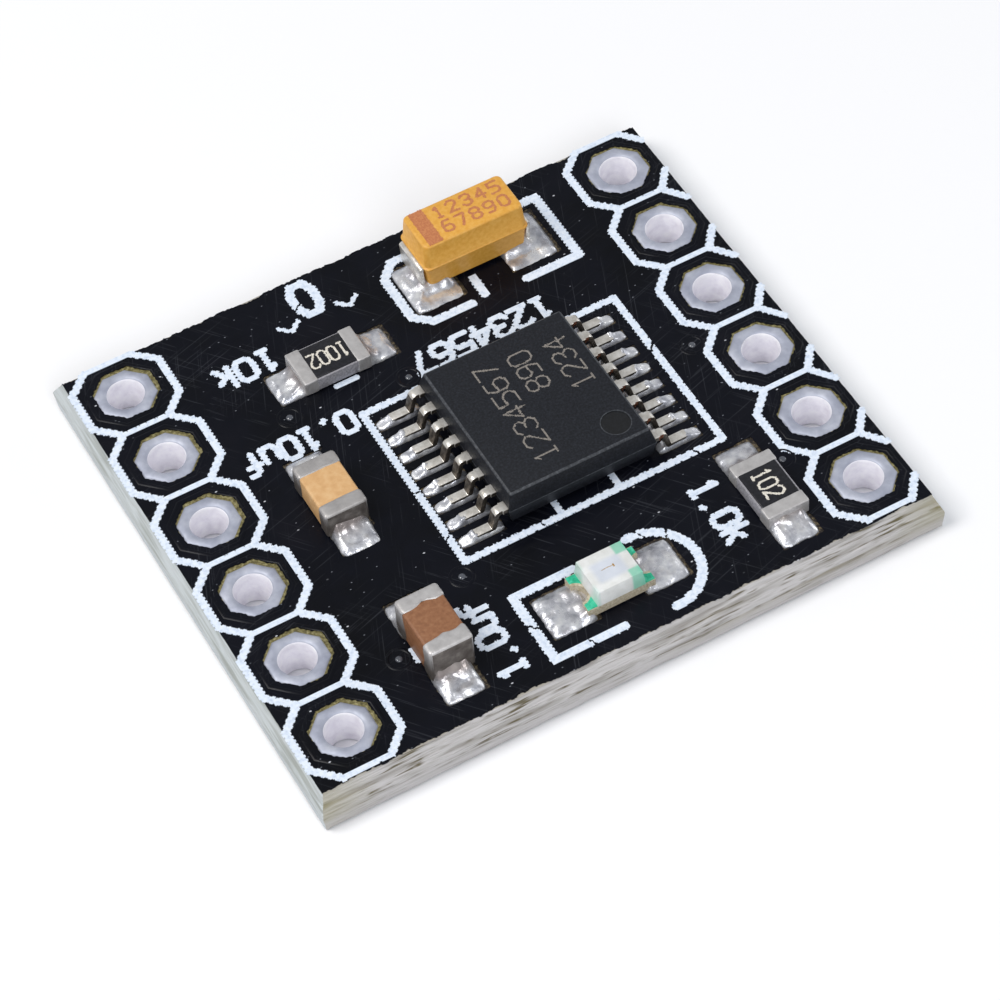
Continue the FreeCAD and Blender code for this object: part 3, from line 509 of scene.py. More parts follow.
# The chip's rounded top edges, parting line and dimple rim are painted lighter: a painted highlight.
CHIP_PAINTED_HIGHLIGHT = speckled("moulding_edge_painted_highlight", ("#24272c", "#373a40", "#4e5156"), 0.5, 0.09, 0.006)
CHIP_DIMPLE = speckled("polished_dimple", ("#07080a", "#0c0d10", "#14161a"), 0.36, 0.06, 0.003)
CHIP_MARK = speckled("laser_mark", ("#5f5a56", "#7d7771", "#979088"), 0.7, 0.05, 0.003)
YELLOW_CASE = speckled("yellow_moulded_case", ("#d79a3a", "#dea445", "#e4ae54"), 0.42, 0.12, 0.003)
BROWN_PRINT = speckled("red_brown_print", ("#b46c44", "#be774c", "#ca8856"), 0.5, 0.05, 0.003)
RESISTOR_COAT = speckled("black_glaze", ("#101014", "#18181d", "#222228"), 0.28, 0.1, 0.004)
CODE_INK = speckled("cream_code_ink", ("#c9c2b4", "#dbd5c9", "#e9e5dc"), 0.6, 0.05, 0.003)
ALUMINA = speckled("grey_alumina", ("#7d7b80", "#939197", "#a9a7ac"), 0.6, 0.05, 0.004)
TAN_CERAMIC = speckled("tan_fired_ceramic", ("#cda06c", "#d5a975", "#dbb381"), 0.5, 0.2, 0.003)
BROWN_CERAMIC = speckled("brown_fired_ceramic", ("#825639", "#8d5f40", "#976a4a"), 0.45, 0.12, 0.003)
LAMP_BOARD = speckled("lamp_base_board", ("#a5977c", "#bfb49c", "#d5cdba"), 0.55, 0.06, 0.006)
LAMP_GREEN = speckled("lamp_green_mask", ("#1f9a78", "#2fba92", "#5fd0ae"), 0.4, 0.15, 0.003)


# %% the lamp's lens
def lens_finish():
    """Milky resin: bluish over the cavity in its middle, green where it covers the corners."""
    material, tree, shader, place = new_finish("milky_lens", "#dfe0de", 0.28, Subsurface_Weight=0.3,
                                               Subsurface_Radius=(0.0004, 0.0004, 0.0004))
    low, high = place_of("led_lens")
    apart = add(tree, "ShaderNodeSeparateXYZ", {"Vector": place})
    shares = []
    for axis, name in enumerate("XY"):
        off = add(tree, "ShaderNodeMath",
                  {0: apart.outputs[name], 1: (low[axis] + high[axis]) / 2 * MM},
                  operation="SUBTRACT").outputs[0]
        far = add(tree, "ShaderNodeMath", {0: off}, operation="ABSOLUTE").outputs[0]
        shares.append(times(tree, far, 2 / ((high[axis] - low[axis]) * MM)))
    milk = ramp(tree, grain(tree, place, 0.5, 3),
                (0.3, "#d3d4d1"), (0.5, "#dfe0de"), (0.7, "#ebecec"))
    cavity = times(tree, step_up(tree, shares[0], 0.7, 0.5), step_up(tree, shares[1], 0.62, 0.4))
    blue = over(tree, times(tree, cavity, 0.6), milk, "#c3cbdc")
    faint = times(tree, step_up(tree, shares[0], 0.78, 0.95), step_up(tree, shares[1], 0.3, 0.6))
    tinted = over(tree, times(tree, faint, 0.4), blue, "#6fcdb2")
    right = add(tree, "ShaderNodeMath", {0: apart.outputs["X"], 1: (low.x + high.x) / 2 * MM},
                operation="SUBTRACT").outputs[0]
    corners = times(tree, step_up(tree, right, 0.34 * MM, 0.4 * MM),
                    step_up(tree, shares[1], 0.42, 0.5))
    tree.links.new(over(tree, times(tree, corners, 0.65), tinted, "#4fc29f"),
                   shader.inputs["Base Color"])
    relief(tree, shader, grain(tree, place, 0.3, 2), 0.003)
    return material


LAMP_LENS = lens_finish()
BOND_WIRE = speckled("gold_bond_wire", ("#8a6a3a", "#b08a4e", "#d0b070"), 0.35, 0.03, 0.001)

# %% [markdown]
# The last thing done to every piece is the same: its normals are made to agree, it is brought
# to metres, gets its finish, and rides on the board. The imported nodes it stands for are hidden.

# %% finishing a piece
def done(piece, finishes, nodes=(), smooth=30, pick=None):
    """Finishes a piece; pick gives the number of each face's finish from its middle and normal."""
    choose_all(piece)
    bpy.ops.mesh.normals_make_consistent(inside=False)
    bpy.ops.object.mode_set(mode="OBJECT")
    piece.data.materials.clear()
    for finish in finishes:
        piece.data.materials.append(finish)
    for face in piece.data.polygons:
        face.material_index = pick(face.center, face.normal) if pick else 0
    piece.scale = (MM, MM, MM)
    bpy.ops.object.transform_apply(location=True, rotation=True, scale=True)
    bpy.ops.object.shade_smooth_by_angle(angle=math.radians(smooth))
    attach(piece, "root")
    if nodes:
        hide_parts(*nodes)
    print(piece.name, len(piece.data.polygons), "faces")
    return piece


# %% [markdown]
# ## The board's core
#
# The panel was scored from both faces and snapped, so each side slopes out to a torn web. A
# ring of points is walked round the outline and extruded upwards level by level, which gives
# even cells all round. Each point is then pushed inwards by noise that is long along the edge
# and short across it, as torn cloth is. The pin holes are drilled last.

# %% the snapped edges
SIDE_CELLS = 260
LEVELS = 20
WEB_HEIGHT = 0.62
DRILL_RADIUS = 0.53
TEAR = {"front": 0.05, "side": 0.015}


def round_the_outline(step, half_x, half_y):
    """The place of a numbered point on a rectangle's outline, and which side it is on."""
    side, share = divmod(step, SIDE_CELLS)
    run = 2 * share / SIDE_CELLS - 1
    spots = ((run * half_x, -half_y), (half_x, run * half_y), (-run * half_x, half_y),
             (-half_x, -run * half_y))
    return spots[side % 4], "front" if side % 2 == 0 else "side"


def edge_half_size(z):
    """Half the board's size at a height: it widens from both faces to the web."""
    if z < WEB_HEIGHT:
        share = (z - board_low.z) / (WEB_HEIGHT - board_low.z)
        start = foot_high
    else:
        share = (board_high.z - z) / (board_high.z - WEB_HEIGHT)
        start = face_high
    return start.x + (board_high.x - start.x) * share, start.y + (board_high.y - start.y) * share


nothing_selected()
bpy.ops.mesh.primitive_circle_add(vertices=4 * SIDE_CELLS, radius=5, fill_type="NGON",
                                  location=(0, 0, board_low.z))
core = keep_place(bpy.context.object, "board_core")
rise = (board_high.z - board_low.z) / LEVELS
for level in range(LEVELS):
    edge_z = board_low.z + level * rise
    choose(core, "EDGE", lambda a, b: min(a.z, b.z) > edge_z - 1e-4)
    bpy.ops.mesh.extrude_region_move(TRANSFORM_OT_translate={"value": (0, 0, rise)})
choose(core, "EDGE", lambda a, b: min(a.z, b.z) > board_high.z - 1e-4)
bpy.ops.mesh.edge_face_add()
bpy.ops.object.mode_set(mode="OBJECT")

for point in core.data.vertices:
    turn = math.atan2(point.co.y, point.co.x) % (2 * math.pi)
    step = round(turn / (2 * math.pi) * 4 * SIDE_CELLS) % (4 * SIDE_CELLS)
    half_x, half_y = edge_half_size(point.co.z)
    (x, y), side = round_the_outline(step, half_x, half_y)
    streak = Vector((x, y, point.co.z * 7))
    torn = 0.5 + 0.5 * (0.6 * rough(streak, 0.9) + 0.4 * rough(streak * 2.6, 0.9, 5.0))
    depth = TEAR[side] * min(max(torn, 0), 1)
    point.co.x = x - math.copysign(depth, x) * (abs(x) > half_x - 1e-3)
    point.co.y = y - math.copysign(depth, y) * (abs(y) > half_y - 1e-3)
drills = [upright(f"drill_{name}", (low + high).xy / 2, DRILL_RADIUS, -0.5, 2, 40)
          for name, (low, high) in pads.items()]
carve(core, joined(drills, "drills"))


def core_finish(centre, normal):
    """0 for the flat faces, 1 for the front and back edges, 2 for the side edges."""
    if abs(normal.z) > 0.9:
        return 0
    return 1 if abs(normal.y) > abs(normal.x) else 2


done(core, [LAMINATE_FACE, FRONT_EDGE, SIDE_EDGE], ["substrate"], 40, core_finish)

# %% [markdown]
# ## The masks
#
# A mask is a thin plate with a window over each land and pad. The windows aren't crisp: the
# film's pixels leave stepped edges. So each cutting tool is an outline with fine teeth, and the
# plate's own edge is bitten back where the score tore it.

# %% ragged windows
OCTAGON = math.pi / 4


def octagon_reach(turn, apothem):
    """Distance from the middle of an octagon to its edge in a direction."""
    return apothem / math.cos((turn + OCTAGON / 2) % OCTAGON - OCTAGON / 2)


def prism(name, spots, low, high):
    """An upright prism with its outline at the given places."""
    nothing_selected()
    bpy.ops.mesh.primitive_circle_add(vertices=len(spots), radius=1, fill_type="NGON",
                                      location=(0, 0, low))
    piece = keep_place(bpy.context.object, name)
    for point, spot in zip(piece.data.vertices, spots):
        point.co.x, point.co.y = spot
    choose_all(piece)
    bpy.ops.mesh.extrude_region_move(TRANSFORM_OT_translate={"value": (0, 0, high - low)})
    bpy.ops.mesh.select_all(action="SELECT")
    bpy.ops.mesh.normals_make_consistent(inside=False)
    bpy.ops.object.mode_set(mode="OBJECT")
    return piece


def teeth(spots, depth, seed):
    """The same outline with each point moved a little, inwards or outwards from its middle."""
    centre = sum((Vector(spot) for spot in spots), Vector((0, 0))) / len(spots)
    moved = []
    for number, spot in enumerate(spots):
        bite = depth * noise.noise(Vector((number * 0.37, seed, 0.5)))
        bite += depth * 0.5 * (number % 2 - 0.5)
        out = (Vector(spot) - centre).normalized()
        moved.append(Vector(spot) + out * bite)
    return moved


def octagon_outline(centre, apothem, points=72):
    turns = [2 * math.pi * i / points for i in range(points)]
    return [(centre[0] + octagon_reach(t, apothem) * math.cos(t),
             centre[1] + octagon_reach(t, apothem) * math.sin(t)) for t in turns]


def box_outline(low, high, per_side=14):
    """Points evenly round a rectangle."""
    corners = [Vector((low[0], low[1])), Vector((high[0], low[1])), Vector((high[0], high[1])),
               Vector((low[0], high[1]))]
    return [corners[i].lerp(corners[(i + 1) % 4], k / per_side) for i in range(4)
            for k in range(per_side)]


# %% lands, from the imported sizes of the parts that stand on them
CHIP_LOW, CHIP_HIGH = place_of("chip_body")
LANDS_LOW, LANDS_HIGH = place_of("chip_lands")
CHIP_MIDDLE = (CHIP_LOW + CHIP_HIGH) / 2
LEAD_PITCH, LEADS_A_SIDE = 0.65, 8
LAND_LONG, LAND_WIDE = 1.3, 0.4


def lead_row(index):
    """A lead's place along its side of the chip, from the front."""
    return CHIP_MIDDLE.y + LEAD_PITCH * (index - (LEADS_A_SIDE - 1) / 2)


chip_lands = []
for way in (-1, 1):
    for index in range(LEADS_A_SIDE):
        outer = LANDS_LOW.x if way < 0 else LANDS_HIGH.x
        inner = outer - way * LAND_LONG
        chip_lands.append((way, (min(outer, inner), lead_row(index) - LAND_WIDE / 2),
                           (max(outer, inner), lead_row(index) + LAND_WIDE / 2)))

# Each part: middle of its land pair, whether it lies along X, pair length, land length and width.
LAND_PAIRS = {
    "left_resistor": ((-2.4, 4.37), True, 3.55, 1.1, 1.12),
    "right_resistor": ((5.25, -5.45), False, 3.55, 1.1, 1.12),
    "middle_capacitor": ((-4.5, 0.21), False, 3.55, 1.1, 1.12),
    "front_capacitor": ((-4.42, -5.25), False, 3.55, 1.1, 1.12),
    "led": ((0.29, -5.96), True, 4.0, 1.3, 1.4),
    "tantalum": ((2.65, 5.59), True, 4.39, 1.46, 1.78),
}


def land_boxes(part):
    """The two lands of a part as (way, low, high) on the board."""
    (x, y), along_x, pair, long, wide = LAND_PAIRS[part]
    boxes = []
    for way in (-1, 1):
        centre = way * (pair - long) / 2
        if along_x:
            boxes.append((way, (x + centre - long / 2, y - wide / 2),
                          (x + centre + long / 2, y + wide / 2)))
        else:
            boxes.append((way, (x - wide / 2, y + centre - long / 2),
                          (x + wide / 2, y + centre + long / 2)))
    return boxes


part_lands = [(part, *box) for part in LAND_PAIRS for box in land_boxes(part)]
print(len(chip_lands), "chip lands and", len(part_lands), "part lands")

# %% the top mask
OPENING_SHIFT = {"left": Vector((0.05, 0.05)), "right": Vector((0.02, 0.03))}
OPENING_APOTHEM = 0.86


def mask_plate(name, low, high, cells, bite):
    """A thin plate whose edge is bitten back; bite is (front and back, sides)."""
    half_x, half_y = high.x, high.y
    spots = []
    for step in range(4 * cells):
        side, share = divmod(step, cells)
        run = 2 * share / cells - 1
        spot = Vector(((run, -1), (1, run), (-run, 1), (-1, -run))[side])
        spot = Vector((spot.x * half_x, spot.y * half_y))
        eaten = bite[side % 2] * max(0, 0.35 + 0.9 * rough((spot.x, spot.y, 2), 0.8)
                                     + 0.5 * rough((spot.x, spot.y, 9), 0.16)
                                     + 0.45 * rough((spot.x, spot.y, 5), 0.05))
        if side % 2 == 0:
            spot.y -= math.copysign(eaten, spot.y)
        else:
            spot.x -= math.copysign(eaten, spot.x)
        spots.append(spot)
    return prism(name, spots, low.z, high.z)


top_mask = mask_plate("top_mask", face_low, face_high, 420, (0.09, 0.012))
windows = []
for number, (name, (low, high)) in enumerate(pads.items()):
    middle = (low + high).xy / 2 + OPENING_SHIFT["left" if "left" in name else "right"]
    outline = teeth(octagon_outline(middle, OPENING_APOTHEM), 0.045, number)
    windows.append(prism(f"window_{name}", outline, MASK_TOP - 0.5, MASK_TOP + 0.5))
for number, (way, low, high) in enumerate(chip_lands):
    gap = 0.005
    outline = box_outline((low[0] - gap, low[1] - gap), (high[0] + gap, high[1] + gap), 8)
    windows.append(prism(f"window_lead_{number}", teeth(outline, 0.015, 20 + number),
                         MASK_TOP - 0.5, MASK_TOP + 0.5))
for number, (part, way, low, high) in enumerate(part_lands):
    outline = box_outline((low[0], low[1] - 0.01), (high[0] + 0.09, high[1] + 0.07))
    windows.append(prism(f"window_{part}_{way}", teeth(outline, 0.04, 50 + number),
                         MASK_TOP - 0.5, MASK_TOP + 0.5))
carve(top_mask, joined(windows, "windows"))
done(top_mask, [MASK], ["solder_mask_top"], 20)

# %% [markdown]
# The film follows what lies under it. The copper round each pad lifts it in a faint octagon,
# tracks lift it in long low banks, and a covered via shows as a small ring with a bead in it.
# They are hardly thicker than a hair, and are seen only where their slopes catch the lamp, but
# for the beads, which are painted lighter than the mask as a painted glint.

# %% what lifts the mask
def bank(name, spots, wide, high=0.007, slope=0.09):
    """A low bank with sloped sides along a broken line."""
    path = [Vector(spot) for spot in spots]
    sheet = flat_grid(name, (0, 0), (1, 1), 0, len(path) - 1, 3)
    points = sorted(sheet.data.vertices, key=lambda p: (round(p.co.x, 4), p.co.y))
    for place, spot in enumerate(path):
        before, after = path[max(place - 1, 0)], path[min(place + 1, len(path) - 1)]
        run = (after - before).normalized()
        aside = Vector((-run.y, run.x))
        for point, off, lift in zip(points[place * 4:place * 4 + 4],
                                    (-wide / 2 - slope, -wide / 2, wide / 2, wide / 2 + slope),
                                    (0, high, high, 0)):
            point.co = Vector((*(spot + aside * off), MASK_TOP - 0.004 + lift))
    modify(sheet, "SOLIDIFY", thickness=0.004, offset=-1)
    return sheet


def ring_bank(name, centre, reach, corners, wide, high=0.02):
    """The same along a closed ring with so many corners."""
    nothing_selected()
    bpy.ops.mesh.primitive_torus_add(major_segments=corners, minor_segments=6, major_radius=reach,
                                     minor_radius=wide, location=(*centre, MASK_TOP))
    ring = keep_place(bpy.context.object, name)
    turn = math.pi / 8 if corners == 8 else 0
    for point in ring.data.vertices:
        flat = Vector((point.co.x - centre[0], point.co.y - centre[1]))
        flat.rotate(Matrix.Rotation(turn, 2))
        point.co.x, point.co.y = centre[0] + flat.x, centre[1] + flat.y
        point.co.z = MASK_TOP + (point.co.z - MASK_TOP) * high / wide
    return ring


def beside(spots, step):
    """The same line moved sideways."""
    path = [Vector(spot) for spot in spots]
    moved = []
    for place, spot in enumerate(path):
        run = (path[min(place + 1, len(path) - 1)] - path[max(place - 1, 0)]).normalized()
        moved.append(tuple(spot + Vector((-run.y, run.x)) * step))
    return moved


# Each is one track's line and how many run side by side.
BUNDLES = [
    ([(-6.0, 3.9), (-4.9, 5.0)], 3), ([(-3.9, 2.0), (-3.3, 1.4), (-3.3, -0.7)], 2),
    ([(-5.9, -2.3), (-4.1, -2.3), (-2.95, -1.2)], 3), ([(5.6, 1.9), (6.3, 1.1)], 3),
    ([(5.55, -1.5), (6.35, -2.4)], 3), ([(-1.2, 5.7), (0.0, 5.75)], 2),
    ([(2.95, -4.2), (4.3, -3.75)], 2),
    ([(-5.6, 6.6), (-3.4, 6.7), (-2.8, 7.1)], 2), ([(-2.2, -3.9), (-0.4, -4.0), (0.4, -4.6)], 2),
    ([(5.6, 3.3), (6.35, 3.9)], 2),
]
TRACK_WIDE, TRACK_STEP = 0.16, 0.34
RIDGE_REACH, VIA_REACH = 1.08, 0.31
banks = []
for number, (spots, count) in enumerate(BUNDLES):
    banks += [bank(f"track_{number}_{i}", beside(spots, TRACK_STEP * i), TRACK_WIDE)
              for i in range(count)]
for name, (low, high) in pads.items():
    banks.append(ring_bank(f"ridge_{name}", (low + high).xy / 2, RIDGE_REACH, 8, 0.06))
beads = []
VIAS = [(-4.155, 3.375), (-0.795, 2.93), (-5.355, -5.085), (-2.755, -3.645), (6.205, -4.685),
        (6.2, -0.1)]
for number, spot in enumerate(VIAS):
    banks.append(ring_bank(f"via_{number}", spot, VIA_REACH, 32, 0.05))
    nothing_selected()
    bpy.ops.mesh.primitive_uv_sphere_add(segments=16, ring_count=8, radius=0.1,
                                         location=(*spot, MASK_TOP))
    bpy.context.object.scale = (1, 1, 0.45)
    beads.append(keep_place(bpy.context.object, f"via_bead_{number}"))
done(joined(banks, "mask_relief"), [MASK], [], 40)
done(joined(beads, "via_beads"), [PAINTED_GLINT_BEAD], [], 40)

# %% the bottom mask
bottom_mask = mask_plate("bottom_mask", foot_low, foot_high - Vector((0.05, 0.06, 0)), 160,
                         (0.06, 0.02))
windows = []
for number, (name, (low, high)) in enumerate(pads.items()):
    outline = teeth(octagon_outline((low + high).xy / 2, OPENING_APOTHEM), 0.04, 80 + number)
    windows.append(prism(f"under_{name}", outline, -0.5, 0.5))
carve(bottom_mask, joined(windows, "under_windows"))
done(bottom_mask, [MASK], ["solder_mask_bottom"], 20)

# %% [markdown]
# ## The plated holes
#
# Each is one skin of tinned copper: a pad on both faces and the barrel between. A ring of
# points is extruded through the sections in turn, round at the bore and octagonal at the pad's
# edge, and bridged back to the first. The solder stands highest half way out on the pad. One is
# modelled and copied, and each copy is then given its own small unevenness.

# %% plated holes
RING = 64
PAD_APOTHEM, BORE = 0.8, 0.5


def ring_of(section, centre):
    """Points of one ring; a section is (round or octagonal reach, share of octagon, height)."""
    reach, squareness, z = section
    spots = []
    for number in range(RING):
        turn = 2 * math.pi * number / RING
        eight = octagon_reach(turn, reach)
        distance = reach + (eight - reach) * squareness
        spots.append(Vector((centre[0] + distance * math.cos(turn),
                             centre[1] + distance * math.sin(turn), z)))
    return spots


def skin_of_rings(name, sections, centre):
    """A closed skin through rings of points, the last bridged to the first."""
    nothing_selected()
    bpy.ops.mesh.primitive_circle_add(vertices=RING, radius=1)
    piece = keep_place(bpy.context.object, name)
    turned = sorted(piece.data.vertices,
                    key=lambda p: math.atan2(p.co.y, p.co.x) % (2 * math.pi))
    for point, spot in zip(turned, ring_of(sections[0], centre)):
        point.co = spot
    choose(piece, "EDGE", lambda a, b: True)
    for section in sections[1:]:
        bpy.ops.mesh.extrude_edges_move()
        bpy.ops.object.mode_set(mode="OBJECT")
        newest = list(piece.data.vertices)[-RING:]
        offset = Vector(centre)
        newest.sort(key=lambda p: math.atan2(p.co.y - offset.y, p.co.x - offset.x) % (2 * math.pi))
        for point, spot in zip(newest, ring_of(section, centre)):
            point.co = spot
        bpy.ops.object.mode_set(mode="EDIT")
    ends = (sections[0], sections[-1])
    choose(piece, "EDGE", lambda a, b: any(on_ring(a, b, end, centre) for end in ends))
    bpy.ops.mesh.bridge_edge_loops()
    bpy.ops.object.mode_set(mode="OBJECT")
    return piece


def on_ring(a, b, section, centre):
    """Both ends lie on this ring."""
    for spot in (a, b):
        flat = Vector((spot.x - centre[0], spot.y - centre[1]))
        turn = math.atan2(flat.y, flat.x)
        eight = octagon_reach(turn, section[0])
        reach = section[0] + (eight - section[0]) * section[1]
        if abs(flat.length - reach) > 2e-3 or abs(spot.z - section[2]) > 2e-4:
            return False
    return True


HOLE_SECTIONS = [
    (BORE, 0, 0.06), (BORE, 0, 0.3), (BORE, 0, 0.6), (BORE, 0, 0.9), (BORE, 0, COPPER_TOP - 0.07),
    (BORE + 0.02, 0, COPPER_TOP - 0.02), (BORE + 0.06, 0.05, COPPER_TOP + 0.012),
    (BORE + 0.15, 0.3, COPPER_TOP + 0.024), (BORE + 0.24, 0.8, COPPER_TOP + 0.01),
    (PAD_APOTHEM - 0.02, 1, COPPER_TOP - 0.015), (PAD_APOTHEM, 1, LAMINATE_TOP),
    (BORE + 0.03, 0, LAMINATE_TOP), (BORE + 0.03, 0, board_low.z), (PAD_APOTHEM, 1, board_low.z),
    (PAD_APOTHEM - 0.02, 1, 0.006), (BORE + 0.12, 0.3, 0), (BORE + 0.05, 0.05, 0.004),
    (BORE + 0.01, 0, 0.03),
]
model_hole = skin_of_rings("model_hole", HOLE_SECTIONS, (0, 0, 0))
for number, (name, (low, high)) in enumerate(pads.items()):
    hole = model_hole.copy()
    hole.data = model_hole.data.copy()
    bpy.context.collection.objects.link(hole)
    hole.name = name.replace("pin_hole", "plated_hole")
    middle = ((low + high) / 2).xy.to_3d()
    size = 1.0 if "left" in name else 1.03

    def settle(spot, normal):
        soldered = spot.z > LAMINATE_TOP + 0.01
        lift = 0.02 * rough(spot + Vector((number * 3, 0, 0)), 0.35) if soldered else 0
        return Vector((spot.x * (size - 1), spot.y * (size - 1), lift)) + middle

    nudge(hole, settle)
    # Faces of the bore get the near-white finish: painted light inside the hole.
    done(hole, [LEVELLED_TIN, PAINTED_BRIGHT_BARREL], [name], 50,
         lambda centre, normal: int((centre.xy - middle.xy).length < BORE * size + 0.012))
bpy.data.objects.remove(model_hole)

# %% [markdown]
# ## The legend
#
# Ink goes on through a woven screen, so a slanted line has stepped sides. The same thing is
# done here: a sheet of tiny cells, one for each opening of the screen, from which only the
# cells under a stroke are kept and given the ink's thickness. All strokes are plain lines, each
# with its width, and figures are drawn with a stroke alphabet on a small grid.

# %% strokes and figures
FIGURES = {
    "0": [[(0, 1), (0, 5), (1, 6), (3, 6), (4, 5), (4, 1), (3, 0), (1, 0), (0, 1)]],
    "1": [[(1, 5), (2, 6), (2, 0)], [(1, 0), (3, 0)]],
    "2": [[(0, 5), (1, 6), (3, 6), (4, 5), (4, 4), (0, 0), (4, 0)]],
    "3": [[(0, 5), (1, 6), (3, 6), (4, 5), (4, 4), (3, 3), (4, 2), (4, 1), (3, 0), (1, 0), (0, 1)],
          [(3, 3), (1.5, 3)]],
    "4": [[(3, 0), (3, 6), (0, 2), (4, 2)]],
    "5": [[(4, 6), (0, 6), (0, 3.5), (3, 3.5), (4, 2.5), (4, 1), (3, 0), (0, 0)]],
    "6": [[(3.5, 6), (1, 6), (0, 4), (0, 1), (1, 0), (3, 0), (4, 1), (4, 2.5), (3, 3.5), (0, 3)]],
    "7": [[(0, 6), (4, 6), (1.5, 0)]],
    "8": [[(1, 3.2), (0, 4), (0, 5), (1, 6), (3, 6), (4, 5), (4, 4), (3, 3.2), (1, 3.2), (0, 2.2),
           (0, 1), (1, 0), (3, 0), (4, 1), (4, 2.2), (3, 3.2)]],
    "9": [[(0.5, 0), (3, 0), (4, 2), (4, 5), (3, 6), (1, 6), (0, 5), (0, 3.5), (1, 2.5), (4, 3)]],
    ".": [[(1.5, 0), (1.9, 0.4)]],
    "k": [[(0.5, 0), (0.5, 6)], [(3.5, 4), (0.5, 1.8)], [(1.6, 2.6), (3.5, 0)]],
    "u": [[(0, 4), (0, 1), (1, 0), (2.5, 0), (3.5, 1), (3.5, 4)], [(3.5, 1), (3.5, 0)]],
    "f": [[(1, 0), (1, 5), (2, 6), (3.5, 6)], [(0, 3.6), (3, 3.6)]],
}


def path_strokes(spots, width):
    """A broken line as strokes (x0, y0, x1, y1, width)."""
    return [(*a, *b, width) for a, b in zip(spots, spots[1:])]


def lettering(text, start, along, height, pitch, width):
    """Figures from a starting corner; along is the reading direction, and up is to its left."""
    along = Vector(along)
    up = Vector((-along.y, along.x))
    unit = height / 6
    strokes = []
    for number, sign in enumerate(text):
        corner = Vector(start) + along * pitch * number
        for line in FIGURES[sign]:
            spots = [tuple(corner + along * u * unit * min(1, pitch / (5.2 * unit)) + up * v * unit)
                     for u, v in line]
            strokes += path_strokes(spots, width)
    return strokes


def arc_spots(centre, radius, start, end, steps=24):
    """Places along an arc, in degrees."""
    turns = [math.radians(start + (end - start) * i / steps) for i in range(steps + 1)]
    return [(centre[0] + radius * math.cos(t), centre[1] + radius * math.sin(t)) for t in turns]


# %% screen printing
def screen_print(name, strokes, z, thick, cell, ragged, gone=(), tooth=0.0):
    """Keeps the cells that strokes cover and that no scratch in gone has taken away.

    A tooth makes every second pair of rows stand out, but for strokes that run along X.
    """
    low_x = min(min(s[0], s[2]) - s[4] for s in strokes)
    high_x = max(max(s[0], s[2]) + s[4] for s in strokes)
    low_y = min(min(s[1], s[3]) - s[4] for s in strokes)
    high_y = max(max(s[1], s[3]) + s[4] for s in strokes)
    columns, rows = round((high_x - low_x) / cell), round((high_y - low_y) / cell)
    sheet = flat_grid(name, (low_x, low_y), (high_x, high_y), z, columns, rows)
    count = len(sheet.data.polygons)
    middles = np.empty(count * 3)
    sheet.data.polygons.foreach_get("center", middles)
    x, y = middles.reshape(-1, 3)[:, 0], middles.reshape(-1, 3)[:, 1]
    random = np.random.default_rng(11)
    wobble = ragged * (random.random(count) - 0.5) + ragged * np.sin(x * 23 + np.cos(y * 17) * 2) * 0.4
    steps = tooth * (np.floor((y - low_y) / (2 * cell)) % 2 - 0.5)
    kept = np.zeros(count, bool)
    for group, keep in ((strokes, True), (gone, False)):
        for x0, y0, x1, y1, width in group:
            near = (np.abs(x - (x0 + x1) / 2) < abs(x1 - x0) / 2 + width) & \
                   (np.abs(y - (y0 + y1) / 2) < abs(y1 - y0) / 2 + width)
            px, py = x[near] - x0, y[near] - y0
            long = max((x1 - x0) ** 2 + (y1 - y0) ** 2, 1e-9)
            share = np.clip((px * (x1 - x0) + py * (y1 - y0)) / long, 0, 1)
            away = np.hypot(px - share * (x1 - x0), py - share * (y1 - y0))
            level = abs(y1 - y0) < 0.05 * abs(x1 - x0)
            hit = away < width / 2 + wobble[near] + (0 if level else steps[near])
            kept[np.flatnonzero(near)[hit]] = keep
    in_hand(sheet)
    sheet.data.vertices.foreach_set("select", np.zeros(len(sheet.data.vertices), bool))
    sheet.data.edges.foreach_set("select", np.zeros(len(sheet.data.edges), bool))
    sheet.data.polygons.foreach_set("select", ~kept)
    bpy.context.tool_settings.mesh_select_mode = (False, False, True)
    bpy.ops.object.mode_set(mode="EDIT")
    bpy.ops.mesh.delete(type="FACE")
    bpy.ops.object.mode_set(mode="OBJECT")
    modify(sheet, "SOLIDIFY", thickness=thick, offset=1)
    return sheet


# %% [markdown]
# The legend's lines: a chain of octagons down each row of holes, a frame round the chip with
# two ticks, brackets round the big capacitor, the bracket and arc round the lamp, short dashes,
# and plain figures where a board of this kind names its parts and values.

# %% the legend's strokes
WIDE_LINE, THIN_LINE = 0.21, 0.16
OCTAGON_HALF, PITCH, CORNER = 1.285, 2.54, 0.61
row_x = {side: sum(place_of(f"pin_hole_{side}_1")[i].x for i in (0, 1)) / 2
         for side in ("left", "right")}
row_y = [sum(place_of(f"pin_hole_left_{n}")[i].y for i in (0, 1)) / 2 for n in range(1, 7)]

legend = []
for side, x in row_x.items():
    for y in row_y:
        left, right, low, high = x - OCTAGON_HALF, x + OCTAGON_HALF, y - PITCH / 2, y + PITCH / 2
        legend += path_strokes([(left, low + CORNER), (left, high - CORNER)], WIDE_LINE)
        legend += path_strokes([(right, low + CORNER), (right, high - CORNER)], WIDE_LINE)
        for end, way in ((low, 1), (high, -1)):
            legend += path_strokes([(left + CORNER, end), (right - CORNER, end)], THIN_LINE)
            legend += path_strokes([(left, end + way * CORNER), (left + CORNER, end)], WIDE_LINE)
            legend += path_strokes([(right, end + way * CORNER), (right - CORNER, end)], WIDE_LINE)

